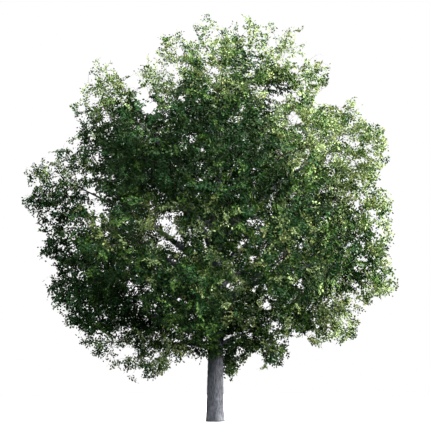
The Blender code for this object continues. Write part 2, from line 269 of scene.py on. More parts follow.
@dataclass
class Rows:
    """Arrays that hold one row each for the same things."""

    def taken(self, chosen: np.ndarray | slice) -> Self:
        """Only the chosen rows."""
        return type(self)(*(getattr(self, part.name)[chosen] for part in fields(self)))

    @classmethod
    def joined(cls, batches: list[Self]) -> Self:
        """The rows of some batches, one batch after another."""
        names = [part.name for part in fields(cls)]
        return cls(*(np.concatenate([getattr(batch, name) for batch in batches]) for name in names))


@dataclass(frozen=True)
class BarkRelief:
    """Long plates of bark with furrows between them, cut into a limb's surface."""

    plate_width: float = 0.050
    plate_length: float = 0.21
    furrow_depth: float = 0.013
    furrow_share: float = 0.42
    furrow_power: float = 1.4
    fewest_columns: int = 4
    rows: int = 64
    seed: int = 11

    def depth(self, around: np.ndarray, along: np.ndarray, girth: float) -> np.ndarray:
        """How deep the surface lies under the top of the plates.

        Args:
            around: The share of the way round the limb, from 0 to 1.
            along: The way along the limb, in metres.
            girth: The limb's girth at its foot, which sets how many plates go round.

        Returns:
            The depth at each point, in metres.
        """
        columns = max(round(girth / self.plate_width), self.fewest_columns)
        centres = np.random.default_rng(self.seed).random((self.rows, columns, 2))
        across, up = around * columns, along / self.plate_length
        column, row = np.floor(across).astype(int), np.floor(up).astype(int)
        nearest = np.full(across.shape, np.inf)
        second = np.full(across.shape, np.inf)
        for right in (-1, 0, 1):
            for above in (-1, 0, 1):
                centre = centres[(row + above) % self.rows, (column + right) % columns]
                gap_across = column + right + centre[..., 0] - across
                gap_up = row + above + centre[..., 1] - up
                distance = np.hypot(gap_across, gap_up)
                second = np.minimum(second, np.maximum(nearest, distance))
                nearest = np.minimum(nearest, distance)
        furrow = np.clip(1.0 - (second - nearest) / self.furrow_share, 0.0, 1.0)
        return self.furrow_depth * furrow**self.furrow_power


class Recipe:
    """A material in the making: its shader and the nodes that feed it."""

    def __init__(self, name: str, roughness: float, gloss: float) -> None:
        """Start a material.

        Args:
            name: The material's name.
            roughness: How dull it is.
            gloss: The strength of its reflections.
        """
        self.material = bpy.data.materials.new(name)
        self.material.use_nodes = True
        self.tree = self.material.node_tree
        self.shader = self.tree.nodes["Principled BSDF"]
        self.shader.inputs["Roughness"].default_value = roughness
        self.shader.inputs["Specular IOR Level"].default_value = gloss
        self.place = self.tree.nodes.new("ShaderNodeTexCoord").outputs["Object"]

    def node(self, kind: str, inputs: dict[str, object], **settings: str) -> bpy.types.Node:
        """Add a node.

        Args:
            kind: What kind of shader node it is.
            inputs: For each input by name, its value or the output that feeds it.
            settings: The node's own settings.

        Returns:
            The new node.
        """
        made = self.tree.nodes.new("ShaderNode" + kind)
        for name, setting in settings.items():
            setattr(made, name, setting)
        for name, given in inputs.items():
            if isinstance(given, bpy.types.NodeSocket):
                self.tree.links.new(given, made.inputs[name])
            else:
                made.inputs[name].default_value = given
        return made

    def ramp(
        self, source: bpy.types.NodeSocket, dark: tuple, light: tuple, levels: tuple
    ) -> bpy.types.NodeSocket:
        """Turn numbers into colours.

        Args:
            source: The output that gives the numbers.
            dark: The colour of low numbers.
            light: The colour of high numbers.
            levels: The numbers up to which all is dark and from which all is light.

        Returns:
            The output that gives the colours.
        """
        made = self.node("ValToRGB", {"Fac": source})
        for stop, colour, level in zip(made.color_ramp.elements, (dark, light), levels):
            stop.position = level
            stop.color = (*colour, 1.0)
        return made.outputs["Color"]

    def finished(self, colour: bpy.types.NodeSocket) -> bpy.types.Material:
        """The material, whose shader takes its colour from an output."""
        self.tree.links.new(colour, self.shader.inputs["Base Color"])
        return self.material


@dataclass(frozen=True)
class BarkFinish:
    """Bark with blue-grey plates, dark furrows, and faint pale patches of lichen."""

    name: str = "elm_bark"
    furrow: tuple = (0.066, 0.071, 0.089)
    plate: tuple = (0.246, 0.256, 0.302)
    lichen: tuple = (0.310, 0.324, 0.368)
    roughness: float = 0.9
    gloss: float = 0.25
    stretch: float = 0.16
    streaks_per_metre: float = 42.0
    streak_detail: float = 6.0
    streak_roughness: float = 0.62
    streak_levels: tuple = (0.36, 0.62)
    patches_per_metre: float = 5.0
    patch_detail: float = 4.0
    patch_levels: tuple = (0.52, 0.72)
    most_lichen: float = 0.55
    bump_strength: float = 0.6
    bump_height: float = 0.01

    def make(self) -> bpy.types.Material:
        """The bark as a material with streaks along the limb and a rough surface.

        Returns:
            The new material.
        """
        recipe = Recipe(self.name, self.roughness, self.gloss)
        squeezed = recipe.node("Mapping", {"Vector": recipe.place, "Scale": (1.0, 1.0, self.stretch)})
        streaks = recipe.node("TexNoise", {
            "Vector": squeezed.outputs["Vector"],
            "Scale": self.streaks_per_metre,
            "Detail": self.streak_detail,
            "Roughness": self.streak_roughness,
        })
        patches = recipe.node("TexNoise", {
            "Vector": recipe.place,
            "Scale": self.patches_per_metre,
            "Detail": self.patch_detail,
        })
        cover = recipe.node("MapRange", {
            "Value": patches.outputs["Fac"],
            "From Min": self.patch_levels[0],
            "From Max": self.patch_levels[1],
            "To Max": self.most_lichen,
        })
        mixed = recipe.node("Mix", {
            "Factor": cover.outputs["Result"],
            "A": recipe.ramp(streaks.outputs["Fac"], self.furrow, self.plate, self.streak_levels),
            "B": (*self.lichen, 1.0),
        }, data_type="RGBA")
        bump = recipe.node("Bump", {
            "Height": streaks.outputs["Fac"],
            "Strength": self.bump_strength,
            "Distance": self.bump_height,
        })
        recipe.tree.links.new(bump.outputs["Normal"], recipe.shader.inputs["Normal"])
        return recipe.finished(mixed.outputs["Result"])


@dataclass(frozen=True)
class Mottling:
    """How a finish wanders between its dark and its light colour."""

    per_metre: float
    detail: float = 1.0
    levels: tuple = (0.35, 0.65)

    def colour(self, recipe: Recipe, dark: tuple, light: tuple) -> bpy.types.NodeSocket:
        """The output that gives the wandering colour."""
        inputs = {"Vector": recipe.place, "Scale": self.per_metre, "Detail": self.detail}
        return recipe.ramp(recipe.node("TexNoise", inputs).outputs["Fac"], dark, light, self.levels)


@dataclass(frozen=True)
class TwigFinish:
    """Smooth young bark on twigs, brown with a grey bloom."""

    name: str = "twig_bark"
    brown: tuple = (0.036, 0.031, 0.025)
    grey: tuple = (0.080, 0.075, 0.067)
    roughness: float = 0.8
    gloss: float = 0.3
    mottling: Mottling = Mottling(9.0)

    def make(self) -> bpy.types.Material:
        """The twig bark as a material that wanders between its two colours."""
        recipe = Recipe(self.name, self.roughness, self.gloss)
        return recipe.finished(self.mottling.colour(recipe, self.brown, self.grey))


class Tint(Enum):
    """The greens that the sprays of leaves are dealt: the darkest two paint shade and the palest two paint
    sunlight.
    """

    DEEP = "deep"
    SHADE = "shade"
    MID = "mid"
    FRESH = "fresh"
    OLIVE = "olive"


@dataclass(frozen=True)
class LeafFinish:
    """One green: how dark and how light its leaves get, and its share where shade is painted and where
    sunlight is painted.
    """

    tint: Tint
    dark: tuple
    light: tuple
    shaded_share: float
    sunny_share: float
    roughness: float = 0.55
    gloss: float = 0.13
    mottling: Mottling = Mottling(16.0)

    def make(self) -> bpy.types.Material:
        """The green as a material whose leaves differ a little from each other."""
        recipe = Recipe("leaf_" + self.tint.value, self.roughness, self.gloss)
        return recipe.finished(self.mottling.colour(recipe, self.dark, self.light))


# The greens, with their shares of the sprays where shade is painted and where sunlight is painted
LEAF_FINISHES = [
    LeafFinish(Tint.DEEP, (0.011, 0.032, 0.007), (0.022, 0.058, 0.012), 0.47, 0.02),
    LeafFinish(Tint.SHADE, (0.017, 0.066, 0.020), (0.038, 0.112, 0.035), 0.29, 0.06),
    LeafFinish(Tint.MID, (0.053, 0.122, 0.023), (0.100, 0.198, 0.041), 0.18, 0.24),
    LeafFinish(Tint.FRESH, (0.190, 0.285, 0.102), (0.375, 0.475, 0.225), 0.02, 0.46),
    LeafFinish(Tint.OLIVE, (0.180, 0.226, 0.066), (0.308, 0.366, 0.146), 0.04, 0.22),
]


@dataclass
class Trunk:
    """The trunk, with the sizes that its solid is made from and a finer surface."""

    radius: float = 0.256
    tip_height: float = 8.75
    taper_height: float = 11.2
    taper_power: float = 0.92
    tip_lean: tuple = (0.16, 0.02)
    sway: tuple = (0.035, -0.021)
    sway_bends: float = 2.6
    flare_width: float = 0.024
    flare_height: float = 0.22
    flare_ridges: int = 5
    flare_ridge_depth: float = 0.05
    sides: int = 96
    rings: int = 176
    relief: BarkRelief = BarkRelief()

    def centres(self, heights: np.ndarray) -> np.ndarray:
        """The trunk's middle at each height.

        Args:
            heights: The heights above the ground.

        Returns:
            One point for each height.
        """
        share = np.asarray(heights, float) / self.tip_height
        swing = np.sin(self.sway_bends * math.pi * share) * share
        across = self.tip_lean[0] * share**2 + self.sway[0] * swing
        away = self.tip_lean[1] * share**2 + self.sway[1] * swing
        return np.stack([across, away, np.asarray(heights, float)], axis=-1)

    def radii(self, heights: np.ndarray) -> np.ndarray:
        """The trunk's radius at each height, flare left out."""
        return self.radius * (1.0 - np.asarray(heights, float) / self.taper_height) ** self.taper_power

    def touches(self, points: np.ndarray, room: float) -> np.ndarray:
        """Whether each point is inside the trunk or nearer to it than the room asked for.

        Args:
            points: The points.
            room: The room asked for.

        Returns:
            One truth value for each point.
        """
        heights = np.clip(points[:, 2], 0.0, self.tip_height)
        away = np.linalg.norm((points - self.centres(heights))[:, :2], axis=1)
        return (away < self.radii(heights) + room) & (points[:, 2] < self.tip_height)

    def build(self, finish: bpy.types.Material) -> bpy.types.Object:
        """The trunk's mesh with its bark relief.

        Args:
            finish: The bark.

        Returns:
            The piece that stands for the trunk's solid.
        """
        heights = np.linspace(0.0, self.tip_height, self.rings)
        around = np.arange(self.sides) / self.sides
        angles = math.tau * around
        fade = np.exp(-heights / self.flare_height)
        ridges = 1.0 + self.flare_ridge_depth * np.outer(fade, np.cos(self.flare_ridges * angles))
        radii = (self.radii(heights) + self.flare_width * fade)[:, None] * ridges
        grid_around, grid_along = np.meshgrid(around, heights)
        radii -= self.relief.depth(grid_around, grid_along, math.tau * self.radius)
        mesh = MeshData()
        mesh.add_limb(self.centres(heights)[:, None, :] + radii[..., None] * level_ways(angles))
        return mesh.build("trunk_bark", finish, smooth=True)


@dataclass
class Mass:
    """One mass of foliage: its middle, its reach, how high its limb starts, and how full of twigs it is."""

    name: str
    centre: tuple
    reach: float
    foot: float
    direct: bool = False
    fullness: float = 1.0
    walls: list = field(default_factory=list)

    @property
    def middle(self) -> np.ndarray:
        """The middle of the mass's space."""
        return np.array(self.centre)

    def raise_walls(self, others: list["Mass"], thickness: float) -> None:
        """Set the flat walls that keep this mass's space apart from the spaces round it.

        Args:
            others: All masses.
            thickness: The room between two masses' spaces.
        """
        for other in others:
            way = other.middle - self.middle
            distance = float(np.linalg.norm(way))
            if other is not self and distance < self.reach + other.reach:
                position = (distance**2 + self.reach**2 - other.reach**2) / (2.0 * distance)
                self.walls.append((way / distance, position - thickness / 2.0))

    def depth(self, points: np.ndarray) -> np.ndarray:
        """How deep each point lies within the mass's reach."""
        return self.reach - np.linalg.norm(points - self.middle, axis=1)

    def within_walls(self, points: np.ndarray) -> np.ndarray:
        """Whether each point is on this mass's side of all its walls.

        Args:
            points: The points.

        Returns:
            One truth value for each point.
        """
        inside = np.ones(points.shape[:-1], bool)
        for normal, position in self.walls:
            inside &= (points - self.middle) @ normal <= position
        return inside

    def holds(self, points: np.ndarray) -> np.ndarray:
        """Whether each point is in the mass's own space."""
        return (np.linalg.norm(points - self.middle, axis=-1) <= self.reach) & self.within_walls(points)


# The masses from the top down, placed as the solids are. A direct one sits on the trunk.
MASSES = [
    Mass("top", (0.30, 0.00, 10.75), 1.25, 8.75, direct=True, fullness=0.50),
    Mass("top_left", (-1.05, 0.55, 10.10), 1.20, 7.75, fullness=0.8),
    Mass("top_right", (2.00, -0.30, 10.30), 1.15, 7.40, fullness=1.05),
    Mass("front_top", (0.15, -2.20, 9.35), 1.60, 6.95, fullness=0.85),
    Mass("back_top", (0.45, 2.40, 9.25), 1.60, 6.70, fullness=0.85),
    Mass("upper_left", (-3.10, -0.50, 9.22), 1.10, 6.00, fullness=1.40),
    Mass("upper_right", (3.00, 0.90, 9.05), 1.20, 6.25, fullness=1.15),
    Mass("right_high", (3.85, -0.80, 7.95), 1.22, 5.15, fullness=1.55),
    Mass("left_high", (-2.95, 0.80, 7.85), 1.25, 5.40),
    Mass("front_high_left", (-1.75, -2.85, 7.75), 1.60, 4.60),
    Mass("front_high_right", (2.05, -2.95, 7.50), 1.65, 4.80),
    Mass("back_high_left", (-2.00, 3.00, 7.50), 1.65, 4.90),
    Mass("back_high_right", (2.10, 3.05, 7.60), 1.65, 5.50),
    Mass("front_mid", (0.10, -3.10, 6.20), 1.45, 3.90),
    Mass("back_mid", (-0.10, 3.30, 6.10), 1.50, 4.45),
    Mass("left_mid", (-4.35, -0.50, 6.80), 1.28, 4.15, fullness=1.6),
    Mass("right_mid", (3.95, 0.90, 6.55), 1.28, 4.30, fullness=1.3),
    Mass("front_mid_left", (-2.60, -2.75, 5.20), 1.65, 3.40),
    Mass("front_mid_right", (2.30, -2.90, 4.75), 1.70, 2.95),
    Mass("back_mid_left", (-2.65, 2.90, 4.85), 1.70, 3.60),
    Mass("back_mid_right", (2.65, 2.95, 5.00), 1.70, 3.75),
    Mass("right_low", (4.08, -0.60, 4.65), 1.28, 3.35, fullness=1.45),
    Mass("left_low", (-4.00, 0.60, 4.50), 1.35, 3.00, fullness=1.6),
    Mass("front_low", (-0.55, -3.00, 3.55), 1.50, 2.35, fullness=1.45),
    Mass("back_low", (0.35, 3.10, 3.50), 1.50, 2.30),
    Mass("lower_right", (3.05, 0.40, 3.35), 1.30, 2.60, fullness=2.1),
    Mass("lower_left", (-3.30, -0.60, 3.15), 1.25, 2.45, fullness=2.0),
    Mass("under_right", (1.75, -0.70, 2.75), 1.08, 2.10, fullness=1.35),
    Mass("hanging_left", (-2.15, 0.30, 2.25), 1.15, 2.00, fullness=1.3),
    Mass("under_left", (-1.05, -0.60, 2.55), 0.98, 2.75, direct=True, fullness=1.4),
    Mass("under_centre", (0.75, 0.70, 2.00), 0.98, 2.25, direct=True, fullness=1.45),
]
# The room between two masses' spaces, and how sharp the creases between masses stay in the outline
SPACE_WALL = 0.05
CROWN_BLEND = 4.0


@dataclass(frozen=True)
class Core:
    """An egg-shaped part of the crown's inside, where the boughs themselves bear leafy twigs."""

    middle: tuple
    halves: tuple

    def depth(self, points: np.ndarray) -> np.ndarray:
        """About how deep each point lies in the egg."""
        halves = np.array(self.halves)
        return halves.min() * (1.0 - np.linalg.norm((points - np.array(self.middle)) / halves, axis=1))


CORES = [Core((0.0, 0.0, 6.3), (3.5, 3.1, 3.1)), Core((0.15, -0.30, 2.75), (1.35, 1.15, 1.20))]


@dataclass(frozen=True)
class Clumps:
    """A smooth rise and fall from clump to clump of leaves, made of a few crossing waves."""

    shortest: float
    longest: float
    seed: int
    waves: int = 12

    def heights(self, points: np.ndarray) -> np.ndarray:
        """The rise at each point, mostly between -2 and 2.

        Args:
            points: The points.

        Returns:
            One number for each point.
        """
        rng = np.random.default_rng(self.seed)
        lengths = rng.uniform(self.shortest, self.longest, self.waves)
        waves = random_directions(rng, self.waves) / lengths[:, None]
        phases = points @ waves.T + rng.random(self.waves)
        return np.sin(math.tau * phases).sum(axis=1) * math.sqrt(2.0 / self.waves)


# The bites that make the outline ragged: where they lie, how deep they go, and the rise they start at
EDGE_CLUMPS = Clumps(0.9, 2.4, 21)
EDGE_SWING = 0.11
EDGE_LEVEL = -0.2
# The clumps that are paler or darker than others, and the bays between clumps, which have fewer leaves
TINT_CLUMPS = Clumps(1.2, 3.0, 22)
BAYS = Clumps(0.30, 0.62, 23)


@dataclass(frozen=True)
class Place:
    """A round place in the crown, seen from the camera, that differs from what is round it."""

    across: float
    height: float
    reach: float
    gain: float


# Where the outline swells or narrows, in metres
SWELLS = [
    Place(-1.00, 11.25, 0.6, 0.25),
    Place(-0.25, 11.20, 0.5, 0.36),
    Place(-1.40, 11.10, 0.35, 0.22),
    Place(-0.50, 11.80, 0.3, -0.12),
    Place(0.22, 11.40, 0.32, -0.40),
    Place(0.80, 11.65, 0.35, 0.32),
    Place(1.30, 11.15, 0.4, 0.45),
    Place(1.85, 10.85, 0.3, -0.22),
    Place(2.25, 11.35, 0.38, 0.45),
    Place(2.75, 10.80, 0.28, -0.35),
    Place(3.15, 10.20, 0.4, 0.58),
    Place(3.35, 9.62, 0.32, -0.90),
    Place(4.15, 9.02, 0.35, 0.15),
    Place(4.62, 8.72, 0.4, -0.48),
    Place(5.00, 8.05, 0.3, -0.18),
    Place(4.40, 8.00, 0.5, 0.34),
    Place(4.55, 7.50, 0.7, 0.20),
    Place(4.80, 7.35, 0.3, 0.20),
    Place(4.95, 6.88, 0.3, -0.38),
    Place(5.00, 6.00, 0.6, 0.30),
    Place(5.15, 6.35, 0.35, 0.22),
    Place(5.10, 4.75, 0.45, -0.28),
    Place(4.90, 3.75, 0.5, 0.35),
    Place(4.35, 3.50, 0.4, 0.36),
    Place(4.02, 3.12, 0.28, -0.35),
    Place(3.85, 2.50, 0.5, 0.50),
    Place(3.05, 2.15, 0.3, 0.22),
    Place(2.25, 2.20, 0.35, -0.33),
    Place(1.75, 1.85, 0.4, 0.38),
    Place(0.95, 1.50, 0.35, -0.38),
    Place(0.40, 1.30, 0.25, 0.15),
    Place(0.15, 1.50, 0.25, 0.15),
    Place(-1.40, 1.60, 0.25, 0.25),
    Place(-1.90, 1.25, 0.45, 0.22),
    Place(-2.65, 1.40, 0.45, 0.12),
    Place(-3.20, 1.95, 0.45, 0.25),
    Place(-3.70, 2.15, 0.35, -0.08),
    Place(-1.60, 3.60, 0.5, 0.20),
    Place(-3.45, 3.10, 0.6, 0.15),
    Place(-4.10, 2.60, 0.5, -0.22),
    Place(-4.60, 3.45, 0.45, 0.12),
    Place(-4.75, 4.40, 0.35, -0.40),
    Place(-5.00, 4.80, 0.35, 0.22),
    Place(-4.75, 5.60, 0.45, 0.20),
    Place(-5.22, 5.95, 0.42, 0.45),
    Place(-5.15, 7.00, 0.4, 0.12),
    Place(-4.85, 7.80, 0.45, -0.22),
    Place(-4.05, 8.60, 0.8, 0.17),
    Place(-2.65, 10.05, 0.3, -0.20),
    Place(-3.15, 10.10, 0.7, 0.22),
    Place(-1.95, 10.22, 0.5, 0.48),
]

# Where more sprays get the paler greens of painted sunlight and fewer, smaller leaves grow, or where more
# sprays get the darker greens of painted shade
PAINTED_LIGHT_AND_THINNING_PLACES = [
    Place(-3.20, 9.80, 1.1, 1.60),
    Place(-1.45, 10.10, 0.8, 0.90),
    Place(2.10, 10.90, 0.8, 0.90),
    Place(-4.60, 7.20, 1.1, 1.00),
    Place(-3.00, 5.30, 0.8, 0.45),
    Place(-1.50, 5.50, 0.7, 1.20),
    Place(0.40, 3.10, 0.7, 0.25),
    Place(1.00, 1.90, 0.7, 0.35),
    Place(0.40, 4.00, 0.8, 0.40),
    Place(-2.90, 2.00, 0.9, 1.10),
    Place(-1.40, 1.90, 0.7, 0.80),
    Place(3.75, 2.80, 1.0, 0.85),
    Place(2.10, 8.60, 0.9, 1.00),
    Place(1.95, 9.45, 0.6, -1.30),
    Place(0.85, 10.35, 0.55, -1.60),
    Place(0.00, 9.40, 0.8, 0.45),
    Place(2.60, 7.50, 0.5, 0.50),
    Place(2.90, 5.60, 0.6, -0.50),
    Place(3.10, 6.90, 0.5, -0.40),
    Place(1.15, 6.30, 0.6, 0.40),
    Place(-0.45, 5.25, 0.5, 0.60),
    Place(-2.70, 4.60, 0.7, 0.50),
    Place(0.00, 5.80, 0.9, 0.30),
    Place(3.80, 7.50, 1.0, 0.60),
    Place(3.95, 8.60, 0.7, 0.70),
    Place(0.45, 8.90, 0.5, 0.80),
    Place(-4.50, 2.90, 0.7, 0.45),
    Place(2.20, 4.60, 0.6, 0.35),
    Place(-1.20, 7.60, 1.2, -0.50),
    Place(0.25, 7.60, 1.3, -1.60),
    Place(-3.00, 7.70, 1.1, -0.60),
    Place(-4.80, 4.20, 1.0, -0.25),
    Place(-3.20, 3.20, 1.1, -0.60),
    Place(3.90, 4.10, 0.8, -0.30),
    Place(0.20, 11.20, 0.9, 0.80),
    Place(-1.10, 11.00, 0.7, 0.65),
    Place(3.75, 5.00, 0.9, -0.70),
]


def gains(points: np.ndarray, places: list[Place]) -> np.ndarray:
    """What the places round it give to each point, fading with the distance from their middles.

    Args:
        points: The points.
        places: The places.

    Returns:
        One number for each point.
    """
    total = np.zeros(len(points))
    for place in places:
        away = np.hypot(points[:, 0] - place.across, points[:, 2] - place.height) / place.reach
        total += place.gain * np.exp(-(away**2))
    return total


def paleness(points: np.ndarray) -> np.ndarray:
    """How much the places of painted sunlight round each point count there, from 0 to 1."""
    return np.clip(gains(points, PAINTED_LIGHT_AND_THINNING_PLACES), 0.0, 1.0)


def space_depth(points: np.ndarray) -> np.ndarray:
    """How deep each point lies in the space of the mass that it is deepest in."""
    return np.max([mass.depth(points) for mass in MASSES], axis=0)


def crown_depth(points: np.ndarray) -> np.ndarray:
    """How deep each point lies in the crown, whose ragged outline bridges the creases between masses.

    Args:
        points: The points.

    Returns:
        The depth at each point in metres, less than 0 outside the crown.
    """
    total = sum(np.exp(CROWN_BLEND * form.depth(points)) for form in [*CORES, *MASSES])
    bites = np.maximum(EDGE_CLUMPS.heights(points) - EDGE_LEVEL, 0.0)
    return np.log(total) / CROWN_BLEND - EDGE_SWING * bites + gains(points, SWELLS)


@dataclass(frozen=True)
class SkyGap:
    """A line of sight from the camera that is kept free of leaves as far as a depth behind the trunk."""

    across: float
    height: float
    radius: float
    depth: float = 9.0


# Where the sky shows through, and last, with a depth of 0, what opens the view of a bough and the trunk
SKY_GAPS = [
    SkyGap(-1.50, 5.72, 0.19),
    SkyGap(-1.24, 5.42, 0.11),
    SkyGap(-1.06, 5.22, 0.10),
    SkyGap(-0.95, 5.95, 0.10),
    SkyGap(-0.29, 5.48, 0.12),
    SkyGap(-0.29, 5.14, 0.12),
    SkyGap(-1.20, 4.56, 0.10),
    SkyGap(-4.75, 7.00, 0.11),
    SkyGap(-4.35, 7.40, 0.11),
    SkyGap(-4.25, 6.60, 0.11),
    SkyGap(-3.95, 7.05, 0.11),
    SkyGap(-3.65, 7.05, 0.16),
    SkyGap(-3.56, 6.58, 0.25),
    SkyGap(-3.38, 6.14, 0.21),
    SkyGap(-3.38, 5.72, 0.10),
    SkyGap(-3.15, 5.40, 0.10),
    SkyGap(-2.40, 9.82, 0.18),
    SkyGap(-2.12, 9.48, 0.24),
    SkyGap(-1.95, 9.12, 0.29),
    SkyGap(-1.30, 10.28, 0.17),
    SkyGap(1.70, 10.98, 0.22),
    SkyGap(2.45, 10.55, 0.14),
    SkyGap(2.35, 8.75, 0.18),
    SkyGap(3.12, 9.27, 0.20),
    SkyGap(-2.54, 1.94, 0.24),
    SkyGap(-1.16, 1.75, 0.10),
    SkyGap(1.10, 1.75, 0.17),
    SkyGap(2.46, 3.90, 0.15),
    SkyGap(0.32, 3.95, 0.15),
    SkyGap(-1.02, 3.50, 0.12),
    SkyGap(1.34, 5.63, 0.10),
    SkyGap(-4.77, 4.28, 0.20),
    SkyGap(-2.00, 5.30, 0.15, 0.0),
    SkyGap(-1.65, 5.20, 0.17, 0.0),
    SkyGap(-1.35, 5.08, 0.15, 0.0),
    SkyGap(-1.05, 4.94, 0.14, 0.0),
    SkyGap(0.02, 4.50, 0.15, 0.0),
]

# The lobes of a gap's ragged edge: how deep they are, how many go round, and how their place differs
GAP_LOBE_DEPTH = 0.24
GAP_LOBES = (3.0, 5.0)
GAP_LOBE_SHIFTS = (9.0, 7.0)


def in_sky_gap(points: np.ndarray, scale: np.ndarray | float = 1.0) -> np.ndarray:
    """Whether each point lies in an open line of sight.

    Args:
        points: The points.
        scale: How many times their size the gaps have for each point.

    Returns:
        One truth value for each point.
    """
    offsets = points - EYE
    places = (EYE - offsets * (EYE[1] / offsets[:, 1:2]))[:, (0, 2)]
    blocked = np.zeros(len(points), bool)
    for gap in SKY_GAPS:
        right, up = places[:, 0] - gap.across, places[:, 1] - gap.height
        turns = np.arctan2(up, right)
        few = np.sin(GAP_LOBES[0] * turns + GAP_LOBE_SHIFTS[0] * gap.across)
        many = np.sin(GAP_LOBES[1] * turns + GAP_LOBE_SHIFTS[1] * gap.height)
        ragged = 1.0 + GAP_LOBE_DEPTH * (few + many)
        blocked |= (np.hypot(right, up) < gap.radius * scale * ragged) & (points[:, 1] < gap.depth)
    return blocked


@dataclass
class Bough:
    """One limb from the trunk to its mass, with the sizes that its solid is made from."""

    mass: Mass
    trunk: Trunk
    rise: float = 0.13
    control_share: float = 0.55
    end_share: float = 0.96
    tip_radius: float = 0.036
    thickness_per_length: float = 0.021
    taper_power: float = 0.8
    most_of_trunk: float = 0.62
    collar_swell: float = 0.3
    collar_share: float = 0.13
    sides: int = 16
    rings: int = 30
    relief: BarkRelief = BarkRelief(plate_length=0.16, furrow_depth=0.006)
    relief_shift: float = 3.0
    measuring_points: int = 5
    heading_from: float = 0.75

    def line(self, shares: np.ndarray) -> np.ndarray:
        """The points of the limb's middle at shares of its length.

        Args:
            shares: How far along the limb, from 0 to 1.

        Returns:
            One point for each share.
        """
        start = self.trunk.centres(self.mass.foot)
        way = self.mass.middle - start
        clear = np.linalg.norm(way) - self.mass.reach
        control = start + unit(way) * (self.control_share * clear) + np.array((0.0, 0.0, self.rise * clear))
        end = self.mass.middle + unit(control - self.mass.middle) * (self.end_share * self.mass.reach)
        before, after = blend_points(start, control, shares), blend_points(control, end, shares)
        return blend_points(before, after, shares)

    def length(self, points: int) -> float:
        """The limb's length, measured in straight steps between some of its points."""
        return np.linalg.norm(np.diff(self.line(np.linspace(0.0, 1.0, points)), axis=0), axis=1).sum()

    def radii(self, shares: np.ndarray) -> np.ndarray:
        """The limb's radius at shares of its length.

        Args:
            shares: How far along the limb, from 0 to 1.

        Returns:
            One radius for each share.
        """
        thickest = self.most_of_trunk * self.trunk.radii(self.mass.foot)
        wanted = self.tip_radius + self.thickness_per_length * self.length(self.measuring_points)
        foot_radius = min(thickest, wanted)
        swell = 1.0 + self.collar_swell * np.exp(-shares / self.collar_share)
        taper = foot_radius + (self.tip_radius - foot_radius) * shares**self.taper_power
        return np.minimum(taper * swell, thickest)

    def heading(self) -> np.ndarray:
        """The direction in which the limb ends, which the stem of its mass carries on."""
        before, tip = self.line(np.array((self.heading_from, 1.0)))
        return unit(tip - before)

    def add_to(self, mesh: MeshData) -> None:
        """Add the limb with its bark relief to the mesh of all boughs.

        Args:
            mesh: The mesh of all boughs.
        """
        shares = np.linspace(0.0, 1.0, self.rings)
        line = self.line(shares)
        along = np.concatenate([[0.0], np.cumsum(np.linalg.norm(np.diff(line, axis=0), axis=1))])
        around = np.arange(self.sides) / self.sides
        grid_around, grid_along = np.meshgrid(around, along + self.mass.foot * self.relief_shift)
        radii = self.radii(shares)[:, None]
        relief = self.relief.depth(grid_around, grid_along, math.tau * float(radii[0, 0]))
        radii = radii * (1.0 - relief / radii[0, 0])
        mesh.add_limb(line[:, None, :] + radii[..., None] * ring_ways(*limb_frames(line), self.sides))


@dataclass(frozen=True)
class ThickTwigRule:
    """How the few thick twigs of a mass branch, as in the solids."""

    stem_share: float = 0.68
    tips_per_mass: float = 2.92
    tips_per_reach: float = 1.6
    spread: tuple = (0.22, 0.56)
    crowding_power: float = 0.6
    tries_per_tip: int = 3
    candidates: int = 14
    leader_share: float = 0.42
    shortest: float = 0.12
    least_forward: float = 0.1
    path_weight: float = 0.35
    joint_shares: tuple = (0.5, 1.0)
    fine_joint_shares: tuple = (0.3, 0.5, 0.7, 0.85, 1.0)
    seed: int = 100


@dataclass(frozen=True)
class FineTwigRule:
    """How the fine twigs carry on from the thick ones to fill the mass's space."""

    per_cubic_metre: float = 112.0
    spread: tuple = (0.25, 1.32)
    thinning_from: float = 1.8
    thinning_per_metre: float = 0.10
    thinnest: float = 0.7
    hidden_from: float = 0.6
    hidden_thinning: float = 0.45
    edge_room: float = 0.05
    clump_reach: float = 0.62
    clump_least: float = 0.45
    gap_scale: float = 0.55
    shortest: float = 0.07
    longest: float = 0.95
    least_forward: float = 0.05
    path_weight: float = 0.30
    joint_shares: tuple = (0.5, 1.0)
    rise: float = 0.05
    stray: float = 0.06
    trunk_room: float = 0.04
    seed: int = 500


